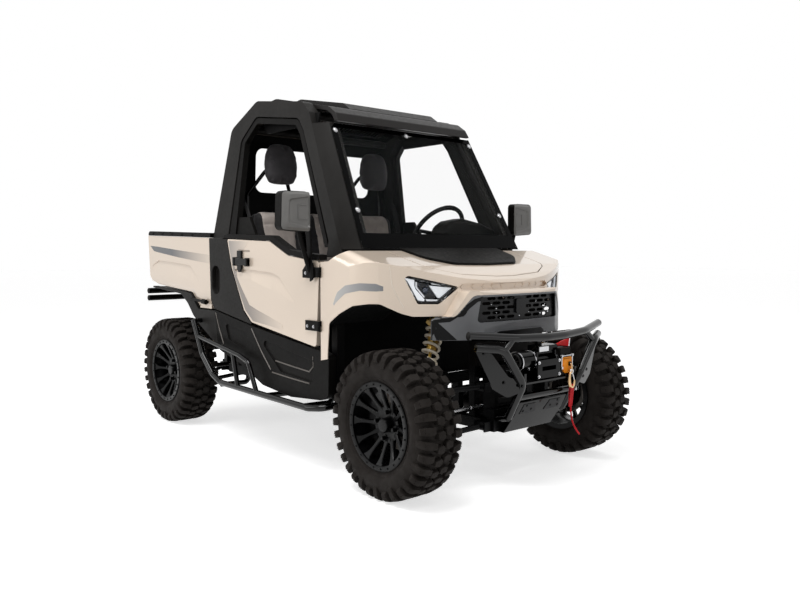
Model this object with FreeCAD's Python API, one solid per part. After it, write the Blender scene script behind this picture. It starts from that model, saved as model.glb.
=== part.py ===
"""Side-by-side utility vehicle in millimetres: X forward, Y left, Z up, ground at z = 0.

The origin lies on the ground at mid-length. Everything behind the doors is placed from the rear
axle, everything ahead of their hinges from the front axle, so the wheelbase stretches the cab.
"""
import FreeCAD, Part
import math
import os

V = FreeCAD.Vector
X, Y, Z = V(1, 0, 0), V(0, 1, 0), V(0, 0, 1)

# Axles and wheels
wheelbase = 2123.0
rear_axle_x = -1077.0
front_axle_x = rear_axle_x + wheelbase
track = 1260.0
wheel_y = track / 2
axle_z = 330.0
tyre_radius = axle_z
tyre_width = 226.0
lug_depth = 18.0
lug_count = 20
rim_radius = 197.0
rim_width = 204.0
barrel_radius = 178.0
barrel_wall = 6.0
spoke_count = 12
spoke_width = 20.0
hub_radius = 52.0
hub_face = 30.0

# Clearances
panel_gap = 6.0
fit_gap = 0.3

# Chassis
rail_size = 50.0
rail_y = 190.0
rail_z = 264.0
sill_y = 560.0
sill_z = 374.0
floor_z = sill_z + rail_size
upper_rail_y = 230.0
upper_rail_z = 690.0
tower_z = 806.0
diff_radius = 78.0
engine_z = 384.0
rack_housing_radius = 22.0
floor_thickness = 6.0
bolt_z = 520.0

# Suspension
kingpin_y = 575.0
lower_ball_z = 232.0
upper_ball_z = 440.0
lower_pivot_y = 240.0
upper_pivot_y = 240.0
lower_pivot_z = rail_z + rail_size / 2
upper_pivot_z = 470.0
arm_spread = 165.0
arm_tube = 26.0
shaft_diameter = 28.0
shock_foot = V(0.0, 450.0, 484.0)
shock_head = V(-80.0, 284.0, 806.0)
spring_radius = 44.0
spring_wire = 14.0
spring_turns = 7
shock_pin = 6.0
upper_seat = 66.0
steering_arm = 112.0
steering_arm_z = axle_z + 62.0
rack_z = steering_arm_z - 24.0
rack_diameter = 22.0
steering_eye = 13.0
joint_ball = 38.0
spindle_gap = 0.5

# Body widths and heights
door_y = 700.0
door_thickness = 45.0
shell = 5.0
fender_shoulder = 72.0
floor_half = 590.0
bed_half_width = 680.0
bed_wall = 40.0
bed_floor_z = 925.0
bed_front_x = rear_axle_x + 536.0
bed_rib = 40.0
bed_rear_x = rear_axle_x - 300.0
tailgate_thickness = 34.0
bed_pivot = V(rear_axle_x - 300.0, 0, 870.0)
bed_pin = 7.0
tailgate_pin_x = bed_rear_x - tailgate_thickness / 2
tailgate_hinge_y = 400.0
hinge_line_x = front_axle_x - 462.0
hinge_post_size = 44.0
hinge_post_y = 604.0
hinge_heights = (990.0, 732.0)
hinge_pin_y = door_y + 8
hinge_barrel = 9.0
hood_hinge = V(front_axle_x - 276.0, 300.0, 1078.0)
hood_hinge_barrel = 7.0
hood_hinge_pin = 3.0

# Cab: the side frames lie in a plane that leans in and narrows to the front
side_y = 645.0
side_taper = -0.0577
side_lean = -0.1272
side_datum_z = 1100.0
cage_depth = 62.0
cage_band = 78.0
door_frame_width = 30.0
door_frame_depth = 34.0
roof_peak_z = 1953.0
glass = 6.0
windshield_x = front_axle_x - 409.0
windshield_z = 1288.0
windshield_lean = 0.525
ridge_lean = 0.5087
pillar_top = 1742.0
belt_bar_z = 1200.0
cage_tube = 44.0
crown_half = 320.0

# Steering column
column_centre = V(front_axle_x - 745.0, 350.0, 1195.0)
column_tilt = math.radians(35.0)
steering_radius = 178.0
steering_rim = 26.0

# Tubes
bumper_tube = 38.0
step_tube = 34.0


def rear(x):
    """A place measured from the rear axle."""
    return rear_axle_x + x


def front(x):
    """A place measured from the front axle."""
    return front_axle_x + x


def box(x0, x1, y0, y1, z0, z1):
    return Part.makeBox(x1 - x0, y1 - y0, z1 - z0, V(x0, y0, z0))


def cylinder(start, direction, radius, length):
    return Part.makeCylinder(radius, length, start, direction)


def rod(start, end, diameter):
    return cylinder(start, end - start, diameter / 2, (end - start).Length)


def fuse(*shapes):
    shapes = [s for s in shapes if s is not None]
    joined = shapes[0].multiFuse(shapes[1:]) if len(shapes) > 1 else shapes[0]
    return joined.removeSplitter()


def both(shape):
    """The shape and its mirror image across the middle plane, fused where they meet."""
    return fuse(shape, mirrored(shape))


def pair(shape):
    """The shape and its mirror image as solids that don't touch."""
    return Part.makeCompound([shape, mirrored(shape)])


def mirrored(shape):
    return shape.mirror(V(0, 0, 0), Y)


def corner(before, at, after, radius):
    """Where an arc of this radius leaves both runs at a corner, and its middle."""
    to_before = (before - at).normalize()
    to_after = (after - at).normalize()
    half = to_before.getAngle(to_after) / 2
    if radius <= 0 or abs(half - math.pi / 2) < 1e-4:
        return at, None, at
    trim = radius / math.tan(half)
    middle = (to_before + to_after).normalize() * (radius / math.sin(half) - radius)
    return at + to_before * trim, at + middle, at + to_after * trim


def path(points, radii, closed=False):
    """Straight runs joined by tangent arcs; one radius for all corners, or one each."""
    count = len(points)
    if not isinstance(radii, (list, tuple)):
        radii = [radii] * count
    corners = []
    for i, point in enumerate(points):
        if not closed and i in (0, count - 1):
            corners.append((point, None, point))
        else:
            corners.append(corner(points[i - 1], point, points[(i + 1) % count], radii[i]))
    edges = []
    for i in range(count if closed else count - 1):
        start, end = corners[i][2], corners[(i + 1) % count][0]
        if (end - start).Length > 1e-3:
            edges.append(Part.LineSegment(start, end).toShape())
        entry, middle, leave = corners[(i + 1) % count]
        if middle is not None:
            edges.append(Part.Arc(entry, middle, leave).toShape())
    return Part.Wire(edges)


def slab(points, radii, depth):
    """A closed outline swept straight along a vector."""
    return Part.Face(path(points, radii, closed=True)).extrude(depth)


def side_slab(outline, radii, y0, y1):
    """An outline of (x, z) points, as thick as from y0 to y1."""
    return slab([V(x, y0, z) for x, z in outline], radii, V(0, y1 - y0, 0))


def plan_slab(outline, radii, z0, z1):
    """An outline of (x, y) points, as high as from z0 to z1."""
    return slab([V(x, y, z0) for x, y in outline], radii, V(0, 0, z1 - z0))


def face_slab(outline, radii, x0, x1):
    """An outline of (y, z) points, as long as from x0 to x1."""
    return slab([V(x0, y, z) for y, z in outline], radii, V(x1 - x0, 0, 0))


def tube(points, diameter, bend):
    """A round bar along straight runs and bends."""
    spine = path(points, bend)
    ring = Part.Wire(Part.Circle(points[0], points[1] - points[0], diameter / 2).toShape())
    return Part.Solid(spine.makePipeShell([ring], True, False))


def revolved(outline, centre=V(0, 0, 0)):
    """An outline of (y, radius) points turned about the Y axis through the centre."""
    points = [centre + V(0, y, r) for y, r in outline]
    face = Part.Face(Part.makePolygon(points + [points[0]]))
    return face.revolve(centre, Y, 360)


def moved(shape, offset):
    copy = shape.copy()
    copy.translate(offset)
    return copy


def turned(shape, degrees, axis=Y, centre=V(0, 0, 0)):
    copy = shape.copy()
    copy.rotate(centre, axis, degrees)
    return copy


# Wheels, made with the outer face towards -Y and the axle through the origin

def tyre():
    half = tyre_width / 2
    crown = tyre_radius - lug_depth
    bead = barrel_radius + barrel_wall / 3
    side = [(-half + 20, bead), (-half + 20, rim_radius + 3), (-half + 3, 225), (-half, 255),
            (-half + 5, 288), (-half + 20, crown - 8), (-half + 55, crown)]
    carcass = revolved(side + [(-y, r) for y, r in reversed(side)])
    pitch = 360 / lug_count
    lug_width = 44.0
    shoulder = [(half - 62, crown - 6), (half - 62, tyre_radius), (half - 12, tyre_radius - 5),
                (half + 1, crown - 12), (half + 1, crown - 44), (half - 12, crown - 44)]
    lug = slab([V(-lug_width / 2, y, r) for y, r in shoulder], 0, V(lug_width, 0, 0))
    block_half = 26.0
    block = [(-block_half, -14), (-10, -24), (16, -24), (block_half, 14), (10, 24), (-16, 24)]
    tread = slab([V(x, y, crown - 6) for x, y in block], 0, V(0, 0, lug_depth + 5))
    lugs = []
    for i in range(lug_count):
        lugs.append(turned(lug, i * pitch))
        lugs.append(turned(mirrored(lug), (i + 0.5) * pitch))
        lugs.append(turned(moved(tread, V(0, 24 if i % 2 else -24, 0)), (i + 0.25) * pitch))
    return carcass.multiFuse(lugs)


def rim():
    outer, inner = -102.0, -102.0 + rim_width
    low = barrel_radius - barrel_wall
    barrel = revolved([(outer, low), (outer, rim_radius), (outer + 8, rim_radius),
                       (outer + 8, barrel_radius), (inner - 8, barrel_radius),
                       (inner - 8, rim_radius), (inner, rim_radius), (inner, low)])
    hub = revolved([(hub_face - 100, 0), (hub_face - 100, hub_radius - 16), (hub_face - 92, hub_radius),
                    (hub_face - 65, hub_radius), (hub_face - 65, 0)])
    outline = [(hub_face - 96, hub_radius - 8), (outer + 6, low + 1), (outer + 34, low + 1),
               (hub_face - 68, hub_radius - 8)]
    spoke = slab([V(-spoke_width / 2, y, r) for y, r in outline], 0, V(spoke_width, 0, 0))
    spokes = [turned(spoke, i * 360 / spoke_count) for i in range(spoke_count)]
    return fuse(barrel, hub, *spokes)


def placed_wheels(shape):
    """The four copies of a wheel piece by place: front and rear, right and left."""
    left = mirrored(shape)
    return {
        "front_right": moved(shape, V(front_axle_x, -wheel_y, axle_z)),
        "front_left": moved(left, V(front_axle_x, wheel_y, axle_z)),
        "rear_right": moved(shape, V(rear_axle_x, -wheel_y, axle_z)),
        "rear_left": moved(left, V(rear_axle_x, wheel_y, axle_z)),
    }


# Running gear on the left side, mirrored to the right

def knuckle(axle_x, steering):
    """The wheel carrier with its spindle, and the steering arm on a front one."""
    spindle_end = wheel_y + (65 - hub_face) - spindle_gap
    lower = V(axle_x, kingpin_y, lower_ball_z + 14)
    upper = V(axle_x, kingpin_y, upper_ball_z - 14)
    upright = rod(lower, upper, 46)
    carrier = cylinder(V(axle_x, kingpin_y - 6, axle_z), Y, 58, 28)
    spindle = cylinder(V(axle_x, kingpin_y, axle_z), Y, 24, spindle_end - kingpin_y)
    disc = cylinder(V(axle_x, kingpin_y + 26, axle_z), Y, 92, 5)
    bore = Part.makeSphere(joint_ball + panel_gap, V(axle_x, kingpin_y, axle_z))
    parts = [upright, carrier, spindle, disc]
    if steering:
        start = V(axle_x + 10, kingpin_y, steering_arm_z)
        parts.append(rod(start, V(axle_x + steering_arm, kingpin_y - 30, steering_arm_z), 22))
        parts.append(cylinder(V(axle_x + steering_arm, kingpin_y - 30, steering_arm_z - steering_eye),
                              Z, 16, 2 * steering_eye))
    return fuse(*parts).cut(bore)


def wishbone(axle_x, pivot_y, pivot_z, ball_z, gusset_at):
    """Two tubes from the chassis pivots to a ball joint, with a cross tube at a share of them."""
    ball = V(axle_x, kingpin_y, ball_z)
    pieces = [cylinder(ball - Z * 12, Z, 24, 24)]
    for side in (-1, 1):
        pivot = V(axle_x + side * arm_spread, pivot_y, pivot_z)
        pieces.append(rod(pivot, ball, arm_tube))
        pieces.append(cylinder(pivot - X * 24, X, 20, 48))
    ends = [V(axle_x + side * arm_spread * (1 - gusset_at),
              pivot_y + (kingpin_y - pivot_y) * gusset_at,
              pivot_z + (ball_z - pivot_z) * gusset_at) for side in (-1, 1)]
    pieces.append(rod(ends[0], ends[1], arm_tube - 6))
    return fuse(*pieces)


def control_arms():
    arms = []
    for axle_x in (front_axle_x, rear_axle_x):
        mount = (shock_foot.y - upper_pivot_y) / (kingpin_y - upper_pivot_y)
        arms.append(wishbone(axle_x, lower_pivot_y, lower_pivot_z, lower_ball_z - 8, 0.5))
        arms.append(wishbone(axle_x, upper_pivot_y, upper_pivot_z, upper_ball_z + 8, mount))
    return Part.makeCompound([pair(a) for a in arms])


def shock_line(axle_x):
    start = V(axle_x, 0, 0) + shock_foot
    end = V(axle_x, 0, 0) + shock_head
    return start, end, (end - start).normalize()


def shock_body(axle_x):
    start, end, line = shock_line(axle_x)
    length = (end - start).Length
    eye = cylinder(start - X * 16, X, 16, 32)
    rod_part = rod(start, end, 16)
    lower_cap = cylinder(start + line * 20, line, spring_radius + 6, 8)
    damper = cylinder(start + line * (length * 0.45), line, 25, length * 0.5)
    upper_cap = cylinder(start + line * (length - upper_seat), line, spring_radius + 4, 10)
    top_eye = cylinder(end - X * 16, X, 16, 32)
    bore = cylinder(end - X * 20, X, shock_pin + fit_gap, 40)
    return fuse(eye, rod_part, lower_cap, damper, upper_cap, top_eye).cut(bore)


def spring(axle_x):
    start, end, line = shock_line(axle_x)
    seat = 28 + spring_wire / 2
    height = (end - start).Length - upper_seat - seat - spring_wire / 2
    helix = Part.makeHelix(height / spring_turns, height, spring_radius - spring_wire / 2)
    ring = Part.Wire(Part.Circle(V(spring_radius - spring_wire / 2, 0, 0), Y, spring_wire / 2).toShape())
    coil = Part.Solid(Part.Wire(helix).makePipeShell([ring], True, True))
    coil.Placement = FreeCAD.Placement(start + line * seat, FreeCAD.Rotation(Z, line))
    return coil


def drivetrain():
    """Both differentials, the propeller shaft and the four half shafts with joints and boots."""
    parts = []
    for axle_x in (front_axle_x, rear_axle_x):
        case = cylinder(V(axle_x, -70, axle_z), Y, diff_radius, 140)
        neck = cylinder(V(axle_x, 0, axle_z), X if axle_x < 0 else -X, 46, 150)
        parts += [case, neck]
        for side in (-1, 1):
            joint = V(axle_x, side * kingpin_y, axle_z)
            parts.append(rod(V(axle_x, side * 60, axle_z), joint, shaft_diameter))
            parts.append(Part.makeSphere(joint_ball, joint))
            for at, way in ((70, 1), (kingpin_y - 30, -1)):
                boot = Part.makeCone(30, 18, 70, V(axle_x, side * at, axle_z), Y * side * way)
                parts.append(boot)
    parts.append(rod(V(rear_axle_x + 140, 0, axle_z), V(front_axle_x - 140, 0, axle_z), 48))
    return fuse(*parts)


# Chassis

def frame():
    """Lower rails, sills, rear upper rails, suspension towers and brackets, hinge posts."""
    size = rail_size
    rails = box(rear(-240), front(215), rail_y - size / 2, rail_y + size / 2, rail_z, rail_z + size)
    sill = box(rear(560), front(-396), sill_y - size / 2, sill_y + size / 2, sill_z, floor_z)
    rear_top = box(rear(-300), rear(540), upper_rail_y - size / 2, upper_rail_y + size / 2,
                   upper_rail_z, upper_rail_z + size)
    parts = [rails, sill, rear_top]
    for x in (rear(-190), rear(500)):
        parts.append(box(x, x + 40, rail_y - 20, rail_y + 20, rail_z, upper_rail_z + 10))
    for x in (front(-215), front(50)):
        parts.append(box(x, x + 36, rail_y - 18, rail_y + 18, rail_z, tower_z))
    parts.append(box(front(-215), front(86), rail_y - 18, rail_y + 18, tower_z - 36, tower_z))
    for axle_x in (front_axle_x, rear_axle_x):
        mount_x = axle_x + shock_head.x
        inner = rail_y if axle_x > 0 else upper_rail_y
        for side in (-26, 20):
            parts.append(box(mount_x + side, mount_x + side + 6, inner - 10, shock_head.y + 12,
                             shock_head.z - 8, shock_head.z + 22))
        parts.append(cylinder(V(mount_x - 22, shock_head.y, shock_head.z), X, shock_pin, 44))
    post_x = rear_axle_x + shock_head.x
    parts.append(box(post_x - 26, post_x + 26, upper_rail_y - 14, upper_rail_y + 14,
                     upper_rail_z + size - 1, shock_head.z + 22))
    parts.append(box(rear(470), rear(500), upper_rail_y - 15, upper_rail_y + 15,
                     upper_rail_z + size - 1, bed_floor_z - bed_rib - fit_gap))
    parts.append(box(front(175), front(215), rail_y - 25, rail_y + 25, rail_z, 366))
    parts.append(box(front(-440), front(-396), hinge_post_y, hinge_post_y + hinge_post_size,
                     sill_z, 1010))
    parts.append(box(front(-440), front(-396), sill_y, hinge_post_y + hinge_post_size, sill_z, floor_z))
    parts += [fixed_hinge(z) for z in hinge_heights]
    parts += [fixed_hood_hinge()]
    half = fuse(*parts)
    cross = []
    for x in (rear(560), rear(960), front(-446)):
        cross.append(box(x, x + size, -sill_y, sill_y, sill_z, floor_z))
        for way in (-1, 1):
            cross.append(box(x, x + size, *sorted((way * (rail_y - 20), way * (rail_y + 20))),
                             rail_z + 10, sill_z + 10))
    for x in (rear(-240), front(175)):
        cross.append(box(x, x + 40, -rail_y, rail_y, rail_z, rail_z + size))
    for x in (rear(280), rear(420)):
        cross.append(box(x, x + 36, -rail_y, rail_y, engine_z - 27, engine_z - fit_gap))
        for way in (-1, 1):
            cross.append(box(x, x + 36, *sorted((way * (rail_y - 16), way * (rail_y + 16))),
                             rail_z + 10, engine_z - 10))
    for x in (rear(-300), rear(500)):
        cross.append(box(x, x + 40, -upper_rail_y, upper_rail_y, upper_rail_z, upper_rail_z + size))
    for x, half_width in ((front(-215), hood_hinge.y + 20), (front(50), rail_y)):
        cross.append(box(x, x + 36, -half_width, half_width, tower_z - 36, tower_z))
    for axle_x in (front_axle_x, rear_axle_x):
        cross.append(box(axle_x - 56, axle_x + 20, -rail_y, rail_y, axle_z + diff_radius + fit_gap,
                         axle_z + diff_radius + 30))
        for way in (-1, 1):
            cross.append(box(axle_x - 56, axle_x - 18, *sorted((way * (rail_y - 16), way * (rail_y + 16))),
                             rail_z + 10, axle_z + diff_radius + 30))
            cross += pivot_brackets(axle_x, way)
    rack_seat = rack_z - rack_housing_radius - fit_gap
    cross.append(box(front(92), front(132), -rail_y, rail_y, rail_z + 8, rack_seat))
    return fuse(both(half), *cross, *bed_hinge_pins())


def frame_parts():
    """The lower frame, the towers bolted on at one height, and the door hinge posts."""
    whole = frame()
    lower = whole.common(box(-2000, 2000, -900, 900, 0, bolt_z))
    upper = whole.common(box(-2000, 2000, -900, 900, bolt_z + fit_gap, 2000)).Solids
    posts = [s for s in upper if abs(s.CenterOfMass.y) > sill_y]
    towers = [s for s in upper if abs(s.CenterOfMass.y) < sill_y]
    return lower, Part.makeCompound(towers), Part.makeCompound(posts)


def pivot_brackets(axle_x, way):
    """The post and ears that carry both wishbones' pivots at each end of one side."""
    parts = []
    for side in (-1, 1):
        x = axle_x + side * arm_spread
        parts.append(box(x - 36, x + 36, *sorted((way * (rail_y - 20), way * (rail_y + 4))),
                         rail_z, upper_pivot_z + 30))
        for pivot_y, pivot_z in ((lower_pivot_y, lower_pivot_z), (upper_pivot_y, upper_pivot_z)):
            reach = sorted((way * rail_y, way * (pivot_y + 20)))
            for ear in (-36, 27):
                parts.append(box(x + ear, x + ear + 9, *reach, pivot_z - 22, pivot_z + 22))
    return parts


def fixed_hinge(z):
    """The chassis half of a door hinge: its upper barrel and the leaf back to the post."""
    barrel = cylinder(V(hinge_line_x, hinge_pin_y, z + fit_gap), Z, hinge_barrel, 24)
    leaf = box(hinge_line_x - 1.5, hinge_line_x + 1.5, hinge_post_y + 30, hinge_pin_y, z + fit_gap, z + 24)
    foot = box(hinge_line_x - 1.5, front(-438), hinge_post_y + 30, hinge_post_y + 36, z + fit_gap, z + 24)
    return fuse(barrel, leaf, foot)


def fixed_hood_hinge():
    """The chassis half of a hood hinge: a stalk with the barrel and the pin on it."""
    stalk = rod(V(front(-198), hood_hinge.y + 10, tower_z - 2), hood_hinge + Y * 10, 14)
    barrel = cylinder(hood_hinge + Y * fit_gap, Y, hood_hinge_barrel, 20)
    pin = cylinder(hood_hinge - Y * 18, Y, hood_hinge_pin, 30)
    return fuse(stalk, barrel, pin)


def moving_hood_hinge():
    """The hood's half of its hinge: a bored barrel with an ear up to the skin."""
    barrel = cylinder(hood_hinge - Y * 14, Y, hood_hinge_barrel, 14)
    ear = box(hood_hinge.x - 7, hood_hinge.x + 7, hood_hinge.y - 14, hood_hinge.y,
              hood_hinge.z, hood_hinge.z + 11)
    return fuse(barrel, ear).cut(cylinder(hood_hinge - Y * 20, Y, hood_hinge_pin + fit_gap, 30))


def engine():
    """One plain block in place of the closed engine and gearbox."""
    return box(rear(236), rear(490), -156, 156, engine_z, 672)


def exhaust():
    muffler = cylinder(V(rear(-110), -150, 590), Y, 70, 300)
    pipe = rod(V(rear(-60), 60, 600), V(rear(236) - fit_gap, 60, 600), 44)
    tail = rod(V(rear(-160), 60, 580), V(rear(-330), 60, 560), 48)
    return fuse(muffler, pipe, tail)


# Cab

def side_point(x, z, inward=0.0):
    """A point on the left cab side's leaning plane, or this far inside it."""
    y = side_y + side_taper * x + side_lean * (z - side_datum_z)
    return V(x, y - inward, z)


def side_panel(outline, radii, depth, inward=0.0):
    """A panel that lies in the left cab side's plane, as deep as asked."""
    return slab([side_point(x, z, inward) for x, z in outline], radii, V(0, -depth, 0))


cage_outer = [(rear(544), 1166.0), (rear(628), 1790.0), (rear(858), 1926.0), (front(-842), 1868.0),
              (front(-775), 1806.0), (front(-432), 1131.0), (front(-392), 1062.0)]
cage_outer_radii = [0, 60, 60, 60, 40, 0, 0]
cage_inner = [(rear(702), 1166.0), (rear(738), 1716.0), (rear(866), 1838.0), (front(-862), 1784.0),
              (front(-808), 1716.0), (front(-515), 1140.0)]
cage_inner_radii = [0, 60, 50, 60, 60, 0]


def cage_side():
    """The broad side frame: rear leg, roof rail and front pillar in one moulding over its tube."""
    inner = list(reversed(cage_inner))
    outline = cage_outer + [(front(-520), 1062.0)] + inner
    return side_panel(outline, cage_outer_radii + [0] + list(reversed(cage_inner_radii)), cage_depth)


def glass_x(z):
    """Where the windshield's front face stands at a height."""
    return windshield_x - windshield_lean * (z - windshield_z)


def pillar_face():
    """The broad front face of the front pillar, from the side ridge in to the windshield's flange."""
    flange_step = glass / math.cos(math.atan(windshield_lean)) + fit_gap

    def section(z):
        ridge = side_point(front(-424) - ridge_lean * (z - 1100.0), z)
        flange = glass_x(z) - flange_step
        edge = glass_x(z) - 1
        return [ridge + V(-34, -4, 0), ridge + V(4, 0, 0), ridge + V(48, -14, 0),
                V(edge, ridge.y - 42, z), V(flange, ridge.y - 43, z), V(flange, ridge.y - 104, z),
                V(flange - 14, ridge.y - 104, z), ridge + V(6, -cage_depth, 0)]

    wires = [Part.makePolygon(s + [s[0]]) for s in (section(1100.0), section(pillar_top))]
    return Part.makeLoft(wires, True, True)


def cage():
    side = fuse(cage_side(), pillar_face())
    leg = rod(side_point(rear(652), 1175, 34), V(rear(652), sill_y, floor_z + 2.2), 44)
    bars = []
    for x, z in ((rear(690), 1790.0), (front(-862), 1806.0), (rear(652), belt_bar_z)):
        end = side_point(x, z, 30)
        bars.append(rod(end, V(end.x, -end.y, end.z), cage_tube))
    return fuse(both(fuse(side, leg)), *bars)


def between_sides(gap):
    """The space between both side frames, down from above the roof."""
    outline = [(rear(300), 2100.0), (front(0), 2100.0), (front(0), 1000.0), (rear(300), 1000.0)]
    half = side_panel(outline, 0, 1400, cage_depth + gap)
    return half.common(mirrored(half))


def roof():
    """The roof panel: a crowned centre with a step down to the front edge."""
    low = [(rear(640), 1858.0), (rear(820), 1916.0), (rear(950), 1934.0), (front(-700), 1832.0),
           (front(-640), 1792.0), (front(-614), 1748.0), (front(-640), 1748.0), (front(-668), 1786.0),
           (front(-712), 1812.0), (rear(945), 1908.0), (rear(830), 1892.0), (rear(650), 1836.0)]
    panel = side_slab(low, [0, 60, 90, 60, 30, 0, 0, 20, 40, 80, 50, 0], -600, 600)
    crown = [(rear(730), 1892.0), (rear(880), 1940.0), (rear(945), roof_peak_z), (front(-775), 1876.0),
             (front(-718), 1838.0), (front(-730), 1826.0), (rear(945), 1912.0), (rear(800), 1902.0)]
    raised = side_slab(crown, [0, 60, 90, 40, 0, 0, 60, 40], -crown_half, crown_half)
    return fuse(panel, raised).common(between_sides(fit_gap))


def windshield():
    """The flat windshield, leaning back, on the flanges of the front pillars."""
    def edge(z):
        return side_point(front(-424) - ridge_lean * (z - 1100.0), z).y - 46
    top, low = pillar_top - 2, 1106.0
    corners = [V(glass_x(top), -edge(top), top), V(glass_x(top), edge(top), top),
               V(glass_x(low), edge(low), low), V(glass_x(low), -edge(low), low)]
    normal = (corners[1] - corners[0]).cross(corners[2] - corners[1]).normalize()
    inward = normal if normal.x < 0 else -normal
    return slab(corners, [40, 40, 20, 20], inward * glass)


def rear_panel():
    """The cab's rear wall between the side frames, with the window cut in it."""
    z0, z1 = 790.0, 1780.0
    x0, x1 = rear(574), rear(636)
    gap = cage_depth + 1.0
    low_half = side_point(x0, z0, gap).y
    high_half = side_point(x1, z1, gap).y

    def wall(offset):
        return [V(x0 + offset, -low_half, z0), V(x0 + offset, low_half, z0),
                V(x1 + offset, high_half, z1), V(x1 + offset, -high_half, z1)]

    plate = Part.makeLoft([Part.makePolygon(wall(o) + [wall(o)[0]]) for o in (0, 12)], True, True)
    window = face_slab([(-430, 1440), (430, 1440), (430, 1700), (-430, 1700)], 50, rear(500), rear(760))
    return plate.cut(window)


def floor():
    """Floor pan, firewall and seat base of the cab."""
    x_wall = front(-448)
    half = floor_half
    low = floor_z + fit_gap
    pan = box(rear(690), x_wall, -half, half, low, low + floor_thickness)
    wall = box(x_wall - 6, x_wall, -half, half, low, 876)
    seat_front = side_slab([(rear(1130), low), (rear(1136), low), (rear(1160), 700.0),
                            (rear(700), 700.0), (rear(700), 694.0), (rear(1152), 694.0)], 0,
                           -half + 10, half - 10)
    cheek = side_slab([(rear(692), low), (rear(1130), low), (rear(1152), 698.0),
                       (rear(692), 698.0)], 0, half - 16, half - 10)
    return fuse(pan, wall, seat_front, both(cheek))


def dashboard():
    """The moulded dashboard with its binnacle ahead of the steering wheel."""
    outline = [(front(-454.3), 880.0), (front(-440), 1100.0), (front(-480), 1160.0), (front(-580), 1150.0),
               (front(-640), 1080.0), (front(-600), 960.0), (front(-560), 880.0)]
    body = side_slab(outline, [0, 30, 40, 30, 30, 40, 0], -492, 492)
    hood_outline = [(front(-450), 1130.0), (front(-470), 1190.0), (front(-520), 1225.0),
                    (front(-580), 1225.0), (front(-560), 1140.0)]
    binnacle = side_slab(hood_outline, [0, 30, 25, 10, 0], column_centre.y - 120, column_centre.y + 120)
    column = rod(column_point(-26 - fit_gap), column_point(-330), 44)
    return fuse(body, binnacle, column)


def column_point(along):
    """A point on the steering column's line, measured towards the driver from the wheel."""
    return column_centre + V(-math.cos(column_tilt), 0, math.sin(column_tilt)) * along


def steering_wheel():
    line = V(-math.cos(column_tilt), 0, math.sin(column_tilt))
    ring = Part.makeTorus(steering_radius, steering_rim / 2, column_centre, line)
    hub = cylinder(column_centre - line * 26, line, 46, 30)
    up = V(math.sin(column_tilt), 0, math.cos(column_tilt))
    arms = []
    for across, lift in ((1, 0.1), (-1, 0.1), (0, -1)):
        way = (Y * across + up * lift).normalize()
        arms.append(rod(column_centre + way * 30 - line * 10, column_centre + way * steering_radius, 22))
    return fuse(ring, hub, *arms)


def seat_cushions():
    pads = []
    for y in (-365.0, 0.0, 365.0):
        outline = [(rear(770), 700.3), (rear(1190), 700.3), (rear(1210), 800.0), (rear(770), 770.0)]
        pads.append(side_slab(outline, [0, 30, 40, 0], y - 178, y + 178))
    return Part.makeCompound(pads)


def seat_backs():
    pads = []
    for y in (-365.0, 0.0, 365.0):
        outline = [(rear(770), 770.4), (rear(870), 777.2), (rear(760), 1350.0), (rear(672), 1350.0)]
        pads.append(side_slab(outline, [20, 30, 40, 30], y - 172, y + 172))
    return Part.makeCompound(pads)


def headrests():
    pads = []
    for y in (-350.0, 350.0):
        outline = [(rear(735), 1475.0), (rear(825), 1475.0), (rear(810), 1720.0), (rear(735), 1720.0)]
        pads.append(side_slab(outline, [20, 30, 30, 30], y - 118, y + 118))
    return Part.makeCompound(pads)


def headrest_loops():
    """The curved tube behind each headrest, from the belt bar up and over."""
    loops = []
    for y in (-350.0, 350.0):
        foot_z = belt_bar_z + cage_tube / 2 + fit_gap
        low_x, high_x = rear(652), rear(735) - 11 - fit_gap
        points = [V(low_x, y - 150, foot_z), V(low_x, y - 150, 1420), V(high_x, y - 60, 1570),
                  V(high_x, y + 60, 1570), V(low_x, y + 150, 1420), V(low_x, y + 150, foot_z)]
        loops.append(tube(points, 22, 50))
    return Part.makeCompound(loops)


def pillar_cover():
    """The tall cover behind the door, with its oval air intake."""
    top = 1166.0 - fit_gap
    outline = [(rear(544), top), (rear(704), top), (rear(710), top - 8),
               (rear(760), top - 8), (rear(807), 994.0), (rear(933), 762.0),
               (rear(1016), 700.0), (rear(1010), 694.0), (rear(600), 756.0), (rear(556), 800.0)]
    cover = side_slab(outline, [0, 0, 0, 0, 60, 20, 0, 0, 20, 40], door_y - 44, door_y - 4)
    centre = V(rear(622), door_y - 34, 925)
    oval = slab([centre + V(-44, 0, -82), centre + V(44, 0, -82), centre + V(44, 0, 82),
                 centre + V(-44, 0, 82)], 43, V(0, 60, 0))
    return cover.cut(oval)


def rocker():
    """The lower side panel under the door, with its pressed recess."""
    outline = [(rear(592), 750.0), (rear(606), 748.0), (rear(1000), 688.0), (front(-470), 612.0),
               (front(-402), 590.0), (front(-408), 392.0), (front(-470), 372.0), (rear(1390), 352.0),
               (rear(1120), 378.0), (rear(880), 470.0), (rear(650), 520.0)]
    panel = side_slab(outline, [0, 0, 0, 0, 20, 40, 60, 0, 60, 60, 30], door_y - 50, door_y - 6)
    recess = side_slab([(rear(1080), 630.0), (front(-520), 552.0), (front(-540), 450.0),
                        (rear(1300), 470.0)], 20, door_y - 14, door_y + 10)
    upper = side_slab([(rear(720), 680.0), (rear(960), 645.0), (rear(975), 590.0), (rear(940), 556.0),
                       (rear(760), 590.0)], 16, door_y - 14, door_y + 10)
    return panel.cut(recess).cut(upper)


# Doors on the left side, closed

door_outline = [(rear(770), 1158.0), (rear(1216), 1141.0), (rear(1386), 1069.0), (rear(1518), 1054.0),
                (hinge_line_x - 4, 1044.0), (hinge_line_x - 34, 628.0), (rear(1024), 708.0),
                (rear(945), 770.0), (rear(819), 996.0)]


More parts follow.
